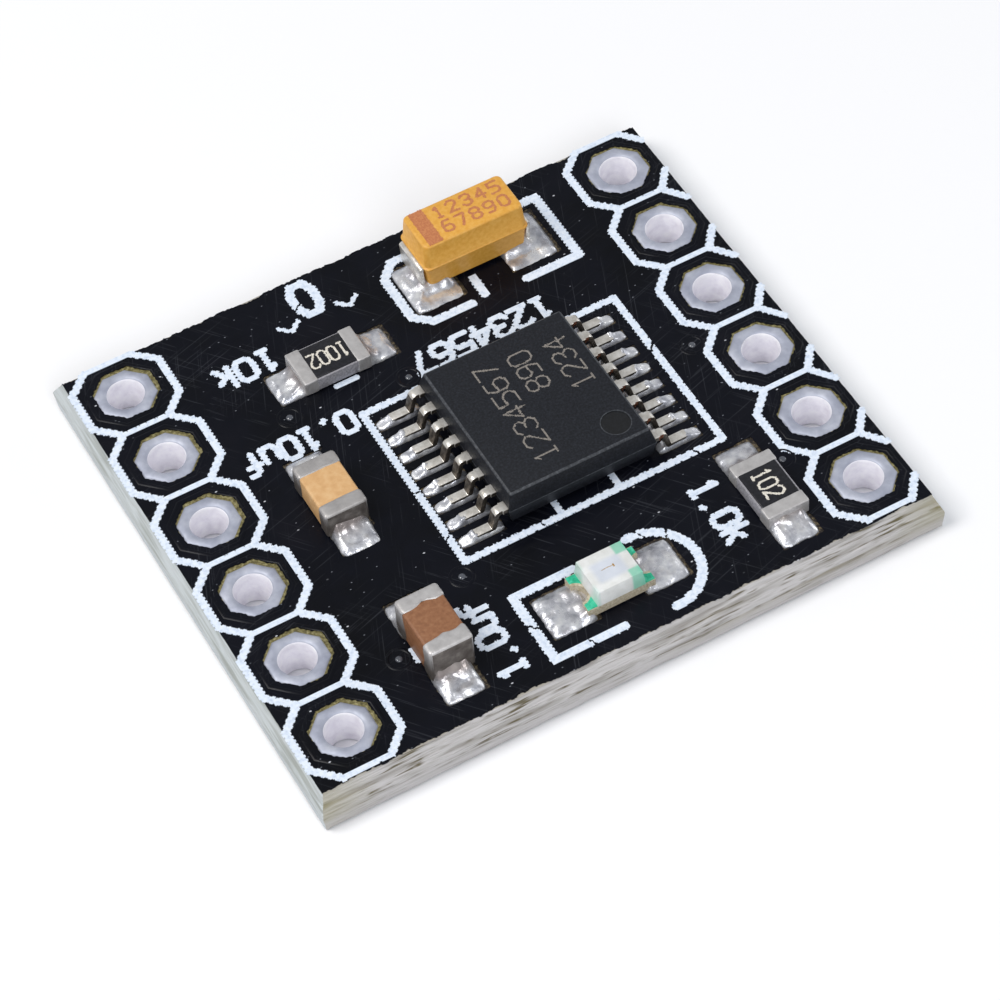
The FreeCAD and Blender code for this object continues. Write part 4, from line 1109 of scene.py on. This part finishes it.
FRAME_LOW, FRAME_HIGH = (-2.455, -3.275), (5.245, 2.435)
legend += path_strokes([FRAME_LOW, (FRAME_HIGH[0], FRAME_LOW[1]), FRAME_HIGH,
                        (FRAME_LOW[0], FRAME_HIGH[1]), FRAME_LOW], 0.2)
for tick_x in (0.425, 2.155):
    legend += path_strokes([(tick_x, FRAME_LOW[1]), (tick_x, -2.65)], 0.18)

legend += path_strokes([(1.9, 4.29), (0.72, 4.29), (0.26, 4.72), (0.26, 6.3), (0.7, 6.79),
                        (1.3, 6.79)],
                       0.26)
legend += path_strokes([(3.61, 4.31), (5.23, 4.31), (5.23, 6.79), (4.6, 6.79)], 0.27)
legend += path_strokes([(2.36, 4.4), (2.36, 5.1)], 0.24)
legend += path_strokes([(-0.23, -4.93), (-1.99, -4.93), (-1.99, -7.17), (0.02, -7.17)], 0.25)
legend += path_strokes(arc_spots((1.5, -6.07), 1.25, 95, -92), 0.26)
legend += path_strokes([(-2.6, 3.66), (-2.0, 3.66)], 0.16)
legend += path_strokes([(-4.95, -5.0), (-4.95, -5.4)], 0.16)

legend += lettering("1234567", (3.62, 3.53), (-1, 0), 0.72, 0.605, 0.17)
legend += lettering("10k", (-3.55, 5.83), (-1, 0), 0.72, 0.62, 0.17)
legend += lettering("0.10uf", (-2.72, 2.8), (-1, 0), 0.72, 0.56, 0.17)
legend += lettering("1.0uf", (-2.7, -7.05), (0, 1), 0.7, 0.54, 0.17)
legend += lettering("1.0k", (3.6, -4.25), (0, -1), 0.7, 0.56, 0.17)
legend += path_strokes([(-2.22, 6.6), (-2.05, 6.3), (-1.75, 6.3), (-1.6, 6.6), (-1.6, 7.1),
                        (-1.75, 7.42), (-2.1, 7.42), (-2.25, 7.1), (-2.22, 6.6)], 0.25)
for bird_x in (-2.72, -0.95):
    legend += path_strokes([(bird_x - 0.3, 6.28), (bird_x - 0.1, 6.08), (bird_x + 0.02, 6.02),
                            (bird_x + 0.12, 6.12), (bird_x + 0.28, 6.26)], 0.13)

# Scratches and nicks that took ink away.
NICKS = [
    (-1.95, 6.9, -2.5, 6.5, 0.06), (-5.4, -7.1, -5.9, -7.5, 0.05), (-7.2, -7.6, -6.6, -7.7, 0.05),
    (0.1, -4.6, 0.3, -4.9, 0.05), (1.7, -4.7, 1.85, -5.0, 0.05), (2.5, -4.9, 2.35, -5.3, 0.05),
    (-2.3, -2.2, -2.6, -2.5, 0.05), (-0.2, -3.1, -0.1, -3.5, 0.05), (-2.6, -0.6, -2.3, -0.7, 0.05),
    (4.3, -3.1, 4.5, -3.4, 0.06), (5.1, 0.2, 5.4, 0.6, 0.07), (-2.1, -5.9, -1.8, -6.2, 0.07),
    (-1.0, -7.0, -0.85, -7.3, 0.05),
]
INSIDE = (board_low.x + 0.26, board_low.y + 0.36, board_high.x - 0.26, board_high.y - 0.36)


def inside_board(stroke):
    """Clips an upright or level stroke at the board's edge; others are kept if they are inside."""
    x0, y0, x1, y1, width = stroke
    clip = (max(INSIDE[0], min(INSIDE[2], v)) for v in (x0, x1))
    x0, x1 = clip
    clip = (max(INSIDE[1], min(INSIDE[3], v)) for v in (y0, y1))
    y0, y1 = clip
    return x0, y0, x1, y1, width


# The right row's outer lines run off the board, so they never reached it.
on_board = [s for s in legend if min(s[0], s[2]) < INSIDE[2] - 0.05]
on_board = [inside_board(s) for s in on_board]
ink = screen_print("legend", on_board, MASK_TOP, 0.015, 0.033, 0.008, NICKS, 0.024)
done(ink, [INK], ["legend_ink"], 20)

# %% [markdown]
# ## The chip
#
# A moulded body: two halves with draft that meet where the leads come out, with rounded edges
# and a shallow dimple at pin one. A block is grown upwards face by face, which is how draft is
# most easily read, and the edges are rounded once at the end.

# %% the chip's body
PARTING = (CHIP_LOW.z + CHIP_HIGH.z) / 2
FOOT_SHARE = (1 + 0.2 / 4.2, 1 + 0.2 / 4.8)
TOP_SHARE = (1 - 0.26 / 4.4, 1 - 0.26 / 5.0)
chip = block("chip_moulding", (CHIP_LOW.x + 0.1, CHIP_LOW.y + 0.1, CHIP_LOW.z),
             (CHIP_HIGH.x - 0.1, CHIP_HIGH.y - 0.1, CHIP_LOW.z + 0.001))
grow(chip, PARTING - CHIP_LOW.z - 0.02, FOOT_SHARE)
grow(chip, 0.04, (1, 1))
grow(chip, CHIP_HIGH.z - PARTING - 0.02, TOP_SHARE)
soften(chip, 0.05, lambda a, b: min(a.z, b.z) > PARTING + 0.015
       and max(a.z, b.z) > CHIP_HIGH.z - 1e-3)
DIMPLE = Vector((CHIP_HIGH.x - 0.77, CHIP_LOW.y + 0.77))
rim_tool = upright("dimple_rim_tool", DIMPLE, 0.425, CHIP_HIGH.z - 0.008, CHIP_HIGH.z + 0.3, 64)
carve(chip, rim_tool)
carve(chip, upright("dimple_tool", DIMPLE, 0.395, CHIP_HIGH.z - 0.03, CHIP_HIGH.z + 0.3, 64))


def chip_finish(centre, normal):
    """0 for the moulding, 1 for its top edges, parting line and dimple rim, painted lighter as a
    painted highlight, 2 for the dimple's floor.
    """
    if (centre.xy - DIMPLE).length < 0.44 and centre.z < CHIP_HIGH.z - 0.002:
        return 2 if centre.z < CHIP_HIGH.z - 0.028 else 1
    edge = 0.2 < normal.z < 0.98 and centre.z > CHIP_HIGH.z - 0.1
    return int(edge or abs(centre.z - PARTING) < 0.015)


done(chip, [CHIP_BLACK, CHIP_PAINTED_HIGHLIGHT, CHIP_DIMPLE], ["chip_body"], 40, chip_finish)

# %% [markdown]
# The marking is burnt in by a laser: plain figures in thin pale lines of even width.

# %% the chip's marking
marking = lettering("1234567", (0.96, -2.3), (0, 1), 0.62, 0.53, 0.05)
marking += lettering("890", (1.93, -0.15), (0, 1), 0.62, 0.5, 0.05)
marking += lettering("1234", (2.98, -0.68), (0, 1), 0.62, 0.49, 0.05)
mark = screen_print("chip_marking", marking, CHIP_HIGH.z - 0.001, 0.004, 0.025, 0.012)
done(mark, [CHIP_MARK], [], 20)

# %% [markdown]
# A gull-wing lead is sheared from strip and bent twice. A narrow sheet is laid out along the
# bent line, given the strip's thickness and its edges broken. It is wider up to where the bar
# that joined the leads was cut away, and its cut end shows copper. One lead is modelled and
# copied along both rows.

# %% leads
LEAD_THICK, LEAD_WIDE = 0.15, 0.25
TOE_X = CHIP_HIGH.x + 1.0


def rounded_path(spots, radius, steps=6):
    """A broken line with each inner corner replaced by an arc."""
    path = [Vector(spots[0])]
    for before, corner, after in zip(spots, spots[1:], spots[2:]):
        corner = Vector(corner)
        back, forth = (Vector(before) - corner).normalized(), (Vector(after) - corner).normalized()
        half = back.angle(forth) / 2
        reach = radius / math.tan(half)
        middle = corner + (back + forth).normalized() * (radius / math.sin(half))
        start, end = corner + back * reach - middle, corner + forth * reach - middle
        path += [middle + start.slerp(end, i / steps) * radius / start.slerp(end, i / steps).length
                 for i in range(steps + 1)]
    path.append(Vector(spots[-1]))
    return path


SHOULDER_Z = PARTING
FOOT_Z = COPPER_TOP + 0.012 + LEAD_THICK / 2
centreline = rounded_path([(CHIP_HIGH.x - 0.1, SHOULDER_Z), (CHIP_HIGH.x + 0.13, SHOULDER_Z),
                           (CHIP_HIGH.x + 0.29, SHOULDER_Z), (CHIP_HIGH.x + 0.43, FOOT_Z),
                           (TOE_X, FOOT_Z)], 0.1)
model_lead = flat_grid("model_lead", (0, -LEAD_WIDE / 2), (1, LEAD_WIDE / 2), 0,
                       len(centreline) - 1, 1)
along = sorted({round(p.co.x, 5) for p in model_lead.data.vertices})
for point in model_lead.data.vertices:
    spot = centreline[min(range(len(along)), key=lambda i: abs(along[i] - point.co.x))]
    point.co.x, point.co.z = spot[0], spot[1]
modify(model_lead, "SOLIDIFY", thickness=LEAD_THICK, offset=0)
break_edges(model_lead, 0.022, 2, 50)


def copy_of(model, name):
    item = model.copy()
    item.data = model.data.copy()
    bpy.context.collection.objects.link(item)
    item.name = name
    return item


def lead_finish(centre, normal):
    """0 for plating, 1 for cut copper, 2 for the slope and flanks, painted darker as painted shade."""
    out = abs(centre.x - CHIP_MIDDLE.x)
    if abs(normal.x) > 0.95 and out > 3.1 and centre.z > FOOT_Z - 0.03:
        return 1
    if normal.y < -0.7 and 0.05 < centre.x - CHIP_HIGH.x < 0.24:
        return 1
    steep = abs(normal.x) > 0.5 and FOOT_Z + 0.08 < centre.z < SHOULDER_Z - 0.02
    return 2 if steep or abs(normal.y) > 0.7 else 0


for way in (-1, 1):
    for index in range(LEADS_A_SIDE):
        number = index + 1 if way > 0 else 2 * LEADS_A_SIDE - index
        lead = copy_of(model_lead, f"lead_{number:02d}")
        shift = Vector((0.02 * noise.noise(Vector((number * 1.7, 0, 0))), 0, 0))

        def lay(spot, normal):
            flat_x = CHIP_MIDDLE.x + way * (spot.x + shift.x - CHIP_MIDDLE.x)
            wider = 1.3 if spot.x < CHIP_HIGH.x + 0.15 else 1.06
            return Vector((flat_x, spot.y * wider + lead_row(index), spot.z)) - spot

        nudge(lead, lay)
        done(lead, [PLATED_LEAD, COPPER, PAINTED_SHADE_LEAD], [f"chip_lead_{number:02d}"], 40,
             lead_finish)
bpy.data.objects.remove(model_lead)

# %% [markdown]
# ## Solder
#
# Molten solder wets a whole land and is drawn up whatever stands on it, in a hollow curve that
# is steep against the part and flat at the land's edge. A sheet of cells lies over the land, a
# rule gives each point its height, and the sheet is then drawn down to the land to close it.

# %% mounds of solder
def mound(name, low, high, base, height, columns=20, rows=14):
    """A closed mound over a rectangle; height gives how far each place stands above the base."""
    sheet = flat_grid(name, low, high, base, columns, rows)
    middle = Vector(((low[0] + high[0]) / 2, (low[1] + high[1]) / 2))
    half = Vector(((high[0] - low[0]) / 2, (high[1] - low[1]) / 2))
    for point in sheet.data.vertices:
        u, v = (point.co.x - middle.x) / half.x, (point.co.y - middle.y) / half.y
        rim = min(1, max(0, 3.2 * (1 - max(abs(u), abs(v))))) ** 0.6
        wander = 0.02 * noise.noise(Vector((point.co.x * 6, point.co.y * 6, 1)))
        point.co.x -= u * abs(v) ** 6 * 0.05 - wander * abs(u)
        point.co.y -= v * abs(u) ** 6 * 0.05 - wander * abs(v)
        lump = 1 + 0.35 * rough((point.co.x, point.co.y, 3), 0.25)
        point.co.z = base + 0.012 + max(height(point.co.x, point.co.y), 0) * rim * lump
    choose_all(sheet)
    bpy.ops.mesh.extrude_region_move(TRANSFORM_OT_translate={"value": (0, 0, -3)})
    bpy.ops.transform.resize(value=(1, 1, 0))
    bpy.ops.object.mode_set(mode="OBJECT")
    floor_level = min(point.co.z for point in sheet.data.vertices)
    for point in sheet.data.vertices:
        if point.co.z < floor_level + 1e-3:
            point.co.z = base
    return sheet


# %% the chip's joints
def lead_joint(x, y, way, row):
    """Solder beside, before and behind a lead's foot."""
    out = way * (x - CHIP_MIDDLE.x)
    toe = TOE_X - CHIP_MIDDLE.x
    beside = max(0, abs(y - row) - LEAD_WIDE / 2)
    ahead = max(0, out - toe)
    behind = max(0, (toe - 0.62) - out)
    side_rise = 0.07 * max(0, 1 - beside / 0.08)
    return side_rise * max(0, 1 - ahead / 0.12) + 0.05 * max(0, 1 - ahead / 0.4) * (out > toe - 0.1) \
        + 0.03 - 0.02 * min(1, behind / 0.3)


joints = []
for number, (way, low, high) in enumerate(chip_lands):
    row = (low[1] + high[1]) / 2
    low, high = (low[0], low[1] + 0.02), (high[0], high[1] - 0.02)
    joints.append(mound(f"joint_{number}", low, high, LAMINATE_TOP,
                        lambda x, y: COPPER_TOP - LAMINATE_TOP + lead_joint(x, y, way, row), 26, 12))
chip_joints = joined(joints, "chip_joints")
done(chip_joints, [SOLDER], ["chip_lands", "chip_solder"], 60)

# %% joints of the two-terminal parts
PART_ENDS = {"left_resistor": (1.0, 0.33), "right_resistor": (1.0, 0.33),
             "middle_capacitor": (1.0, 0.4),
             "front_capacitor": (1.0, 0.42), "led": (0.85, 0.22), "tantalum": (1.62, 0.25)}
BODY_SHIFT = {"tantalum": 0.43}


def end_joint(part, way):
    """Solder that climbs the plated end and thins towards the land's outer edge."""
    (mx, my), along_x, pair = LAND_PAIRS[part][:3]
    reach, climb = PART_ENDS[part]

    def height(x, y):
        out = way * ((x - mx) if along_x else (y - my))
        across = (y - my - BODY_SHIFT.get(part, 0)) if along_x else (x - mx)
        gap = max(0, out - reach)
        run = pair / 2 - reach
        hollow = max(0, 1 - gap / (run * 0.7)) ** 2.6
        sides = max(0, 1 - (max(0, abs(across) - 0.4) / 0.5) ** 2)
        lump = 0.07 * max(0, 1 - ((gap - run * 0.6) / (run * 0.5)) ** 2)
        return COPPER_TOP - LAMINATE_TOP + climb * hollow * sides + lump + 0.02

    return height


joints = [mound(f"joint_{part}_{way}", low, high, LAMINATE_TOP, end_joint(part, way), 26, 26)
          for part, way, low, high in part_lands]
part_joints = joined(joints, "part_joints")
done(part_joints, [STAINED_SOLDER], ["part_lands", "part_solder"], 60)

# %% where the parts came to rest
# A part floats on its solder and settles a little off the middle of its lands, in millimetres.
SETTLED = {"left_resistor": (-0.05, 0.0), "right_resistor": (0.03, -0.06),
           "middle_capacitor": (-0.02, -0.02),
           "front_capacitor": (0.06, 0.0), "led": (0.03, 0.04)}


def settle_part(part, piece):
    """Moves a part's piece to where it came to rest."""
    return nudge(piece, lambda spot, normal: Vector((*SETTLED[part], 0)))


# %% [markdown]
# ## Small ceramic parts
#
# The ends of a ceramic part are dipped in silver paste and plated, so they wrap over every face
# with soft edges and a wavy border. A block is rounded, cut into small cells and pushed about a
# little, which takes the machined look away.

# %% plated ends
def plated_end(name, low, high, rounding, axis, border, waves=0.008, wander=0.02):
    """A plated end: a rounded block with an uneven skin and a border that wanders."""
    end = block(name, low, high)
    break_edges(end, rounding, 4, 30)
    choose_all(end)
    bpy.ops.mesh.subdivide(number_cuts=5)
    bpy.ops.object.mode_set(mode="OBJECT")

    def unevenness(spot, normal):
        shift = -normal * waves * (0.5 + rough(spot, 0.22))
        if abs(spot[axis] - border) < 0.1:
            off = spot.copy()
            off[axis] = border
            shift[axis] += wander * 2 * rough(off, 0.35, 2.0)
        return shift

    return nudge(end, unevenness)


def ends_of(part, low, high, along_x, band, rounding, names, wander=0.02):
    """The two plated ends of a part between two corners."""
    for way, side in zip((-1, 1), names):
        start, finish = Vector(low), Vector(high)
        axis = 0 if along_x else 1
        if way < 0:
            finish[axis] = start[axis] + band
        else:
            start[axis] = finish[axis] - band
        border = finish[axis] if way < 0 else start[axis]
        end = plated_end(f"{part}_end_{side}", start, finish, rounding, axis, border, wander=wander)
        # A capacitor's plated ends are painted darker on their end faces and towards the bottom:
        # painted shade.
        finishes = [PAINTED_SHADE_LOW_END, PAINTED_SHADE_END_FACE] if "capacitor" in part else [PLATED_END, PLATED_END]
        done(settle_part(part, end), finishes, [f"{part}_terminal_{side}"], 60,
             lambda centre, normal: int(abs(normal.y) > 0.85))


# %% capacitors
for part, finish, slot in (("middle_capacitor", TAN_CERAMIC, "tan_ceramic"),
                           ("front_capacitor", BROWN_CERAMIC, "brown_ceramic")):
    low, _ = place_of(f"{part}_terminal_front")
    _, high = place_of(f"{part}_terminal_back")
    body = block(f"{part}_body", low + Vector((0.035, 0.1, 0.04)),
                 high - Vector((0.035, 0.1, 0.035)))
    break_edges(body, 0.07, 4)
    done(settle_part(part, body), [finish], [f"{part}_ceramic"], 60)
    ends_of(part, low, high, False, 0.5, 0.11, ("front", "back"),
            0.06 if slot == "brown_ceramic" else 0.02)

# %% [markdown]
# A chip resistor is a slip of white ceramic with a black glazed coat on top, a code in plain
# figures, and thin plated ends that stand a hair above the coat.

# %% resistors
CODES = {"left_resistor": "1002", "right_resistor": "102"}
for part, names in (("left_resistor", ("left", "right")), ("right_resistor", ("front", "back"))):
    along_x = names[0] == "left"
    low, _ = place_of(f"{part}_terminal_{names[0]}")
    _, high = place_of(f"{part}_terminal_{names[1]}")
    inset = Vector((0.04, 0.02, 0.03)) if along_x else Vector((0.02, 0.04, 0.03))
    slip = block(f"{part}_slip", low + inset, high - inset - Vector((0, 0, 0.02)))
    break_edges(slip, 0.02, 2)
    done(settle_part(part, slip), [ALUMINA], [f"{part}_ceramic"], 40)
    trim = Vector((0.38, 0.07, 0)) if along_x else Vector((0.07, 0.38, 0))
    coat = block(f"{part}_glaze", Vector((low.x, low.y, high.z - 0.07)) + trim,
                 Vector((high.x, high.y, high.z - 0.01)) - trim)
    break_edges(coat, 0.025, 3)
    done(settle_part(part, coat), [RESISTOR_COAT], [f"{part}_coat"], 40)
    ends_of(part, low, high, along_x, 0.42, 0.05, names)
    middle = (low + high) / 2
    if along_x:
        code = lettering(CODES[part], (middle.x + 0.56, middle.y + 0.24), (-1, 0), 0.5, 0.29, 0.055)
    else:
        code = lettering(CODES[part], (middle.x - 0.27, middle.y + 0.47), (0, -1), 0.52, 0.33, 0.06)
    figures = screen_print(f"{part}_code", code, high.z - 0.011, 0.004, 0.02, 0.012)
    done(settle_part(part, figures), [CODE_INK], [], 20)

# %% [markdown]
# ## The lamp
#
# A scrap of white board with green corners carries a milky lens. Its ends are plated in half
# round notches that fill with solder.

# %% the lamp
base_low, base_high = place_of("led_base")
lens_low, lens_high = place_of("led_lens")
base_half = (base_high - base_low) / 2
lamp_middle = (base_low + base_high) / 2
base = block("lamp_base", (base_low.x - 0.03, base_low.y + 0.01, base_low.z),
             (base_high.x + 0.03, base_high.y - 0.01, lens_low.z))
notches = [upright(f"notch_{way}", (lamp_middle.x + way * (base_half.x + 0.05), lamp_middle.y), 0.3,
                   base_low.z - 0.5, lens_low.z + 0.5, 40) for way in (-1, 1)]
carve(base, joined(notches, "notches"))
done(settle_part("led", base), [LAMP_BOARD], ["led_base"], 40)

for way, side in ((-1, "left"), (1, "right")):
    skin = block(f"lamp_end_{side}",
                 (lamp_middle.x + way * 0.78 - 0.2, base_low.y + 0.03, COPPER_TOP + 0.01),
                 (lamp_middle.x + way * 0.78 + 0.2, base_high.y - 0.03, base_low.z + 0.06))
    break_edges(skin, 0.02, 2)
    done(settle_part("led", skin), [PLATED_END], [f"led_terminal_{side}"], 40)
    green_x = sorted((lamp_middle.x + way * (base_half.x - 0.4),
                      lamp_middle.x + way * (base_half.x + 0.025)))
    green = block(f"lamp_green_{side}", (green_x[0], base_low.y + 0.03, lens_low.z - 0.01),
                  (green_x[1], base_high.y - 0.03, lens_low.z + 0.012))
    carve(green, upright(f"green_notch_{side}",
                         (lamp_middle.x + way * (base_half.x + 0.05), lamp_middle.y),
                         0.38, lens_low.z - 0.2, lens_low.z + 0.2, 40))
    done(settle_part("led", green), [LAMP_GREEN], [], 30)

lens = block("lamp_lens", lens_low, (lens_high.x, lens_high.y, lens_low.z + 0.01))
grow(lens, lens_high.z - lens_low.z - 0.01, (0.93, 0.92))
break_edges(lens, 0.03, 3, 50)
done(settle_part("led", lens), [LAMP_LENS], ["led_lens"], 40)
wire_strokes = path_strokes([(lamp_middle.x - 0.22, lamp_middle.y),
                             (lamp_middle.x - 0.05, lamp_middle.y + 0.015),
                             (lamp_middle.x + 0.12, lamp_middle.y + 0.0)], 0.018)
wire_strokes += path_strokes([(lamp_middle.x + 0.12, lamp_middle.y - 0.03),
                              (lamp_middle.x + 0.12, lamp_middle.y + 0.03)], 0.045)
wire = screen_print("lamp_bond_wire", wire_strokes, lens_high.z - 0.001, 0.002, 0.008, 0.004)
done(settle_part("led", wire), [BOND_WIRE], [], 20)

# %% [markdown]
# ## The moulded capacitor
#
# Yellow epoxy, moulded in two halves round a lead frame. The parting line stands proud as a
# thin belt, the straps come out at the belt and fold under the body.

# %% the moulded capacitor
case_low, case_high = place_of("tantalum_body")
BELT_Z = case_low.z + 0.72
case = block("yellow_case", (case_low.x + 0.1, case_low.y + 0.1, case_low.z),
             (case_high.x - 0.1, case_high.y - 0.1, case_low.z + 0.001))
grow(case, BELT_Z - case_low.z - 0.021, (1 + 0.1 / 3.0, 1 + 0.1 / 1.4))
grow(case, 0.02, (1 + 0.1 / 3.1, 1 + 0.1 / 1.5))
grow(case, 0.05, (1, 1))
grow(case, 0.03, (1 - 0.08 / 3.2, 1 - 0.08 / 1.6))
grow(case, case_high.z - BELT_Z - 0.086, (1 - 0.1 / 3.12, 1 - 0.14 / 1.52))
case_middle = (case_low + case_high) / 2
soften(case, 0.15, lambda a, b: (a.x - case_middle.x) * (b.x - case_middle.x) > 0
       and (a.y - case_middle.y) * (b.y - case_middle.y) > 0, 4)
soften(case, 0.07, lambda a, b: min(a.z, b.z) > case_high.z - 0.01, 3)
done(case, [YELLOW_CASE], ["tantalum_body"], 50)

for side, way in (("left", -1), ("right", 1)):
    low, high = place_of(f"tantalum_terminal_{side}")
    outer = high.x if way > 0 else low.x
    inner = low.x if way > 0 else high.x
    middle_y = (low.y + high.y) / 2
    path = rounded_path([(outer - way * 0.13, high.z - 0.06), (outer - way * 0.06, high.z - 0.06),
                         (outer - way * 0.1, low.z + 0.06), (inner, low.z + 0.06)], 0.05)
    strap = flat_grid(f"capacitor_strap_{side}", (0, middle_y - 0.6), (1, middle_y + 0.6), 0,
                      len(path) - 1, 1)
    along = sorted({round(p.co.x, 5) for p in strap.data.vertices})
    for point in strap.data.vertices:
        spot = path[min(range(len(along)), key=lambda i: abs(along[i] - point.co.x))]
        point.co.x, point.co.z = spot[0], spot[1]
    modify(strap, "SOLIDIFY", thickness=0.11, offset=0)
    break_edges(strap, 0.015, 2, 50)
    done(strap, [PLATED_LEAD], [f"tantalum_terminal_{side}"], 40)

# %% the capacitor's print
TOP_LOW, TOP_HIGH = case_low + Vector((0.15, 0.15, 0)), case_high - Vector((0.15, 0.15, 0))
print_strokes = []
for stripe_x in np.linspace(TOP_LOW.x + 0.14, TOP_LOW.x + 0.5, 9):
    print_strokes += path_strokes([(stripe_x, TOP_LOW.y + 0.03),
                                   (stripe_x, TOP_HIGH.y - 0.03)], 0.07)
print_strokes += lettering("12345", (TOP_LOW.x + 0.74, TOP_LOW.y + 0.77), (1, 0), 0.4, 0.43, 0.075)
print_strokes += lettering("67890", (TOP_LOW.x + 0.74, TOP_LOW.y + 0.2), (1, 0), 0.4, 0.43, 0.075)
case_print = screen_print("capacitor_print", print_strokes, case_high.z - 0.008, 0.004, 0.02, 0.012)
done(case_print, [BROWN_PRINT], [], 20)

# %% [markdown]
# ## Floor, light and camera
#
# A pale floor that ends nowhere in view, a large soft lamp high on the left, a second in front
# and a dim even sky, so that a colour comes out about as it is written. The sky is dim because
# black mask at this angle shows whatever hangs behind the board.

# %% floor
floor_material, floor_tree, floor_shader, floor_place = new_finish("pale_floor", "#f6f6f8", 0.9)
nothing_selected()
bpy.ops.mesh.primitive_plane_add(size=1.2, location=(0, 0, -0.00001))
floor = bpy.context.object
floor.name = "floor"
floor.data.materials.append(floor_material)

# %% light
world = bpy.data.worlds.new("soft_sky")
bpy.context.scene.world = world
world.use_nodes = True
world.node_tree.nodes["Background"].inputs["Color"].default_value = (0.93, 0.96, 1.0, 1.0)
world.node_tree.nodes["Background"].inputs["Strength"].default_value = 0.42


def soft_lamp(name, place, width, power, colour):
    """A square lamp that faces the board; place and width in millimetres."""
    lamp_data = bpy.data.lights.new(name, "AREA")
    lamp_data.shape = "SQUARE"
    lamp_data.size = width * MM
    lamp_data.energy = power
    lamp_data.color = colour
    lamp = bpy.data.objects.new(name, lamp_data)
    bpy.context.collection.objects.link(lamp)
    lamp.location = Vector(place) * MM
    lamp.rotation_mode = "QUATERNION"
    lamp.rotation_quaternion = (-Vector(place)).to_track_quat("-Z", "Y")
    return lamp


soft_lamp("key", (-120, 30, 190), 110, 0.3, (1.0, 0.98, 0.95))
soft_lamp("fill", (-30, -180, 170), 120, 0.2, (0.96, 0.98, 1.0))
soft_lamp("edge", (170, 20, 60), 90, 0.05, (1.0, 1.0, 1.0))

# %% camera
CAMERA_AT, CAMERA_AIM, CAMERA_ROLL = (-24.948, -55.238, 76.367), (-0.729, -1.996, 1.2), 5.705
camera_data = bpy.data.cameras.new("camera")
camera_data.sensor_width = 36
camera_data.lens = 131.986
camera_data.clip_start = 0.005
camera_data.clip_end = 5
camera = bpy.data.objects.new("camera", camera_data)
bpy.context.collection.objects.link(camera)
camera.location = Vector(CAMERA_AT) * MM
camera.rotation_mode = "QUATERNION"
gaze = (Vector(CAMERA_AIM) - Vector(CAMERA_AT)).to_track_quat("-Z", "Y")
roll = Matrix.Rotation(math.radians(-CAMERA_ROLL), 3, "Z").to_quaternion()
camera.rotation_quaternion = gaze @ roll
bpy.context.scene.camera = camera
bpy.context.scene.view_settings.view_transform = "Standard"
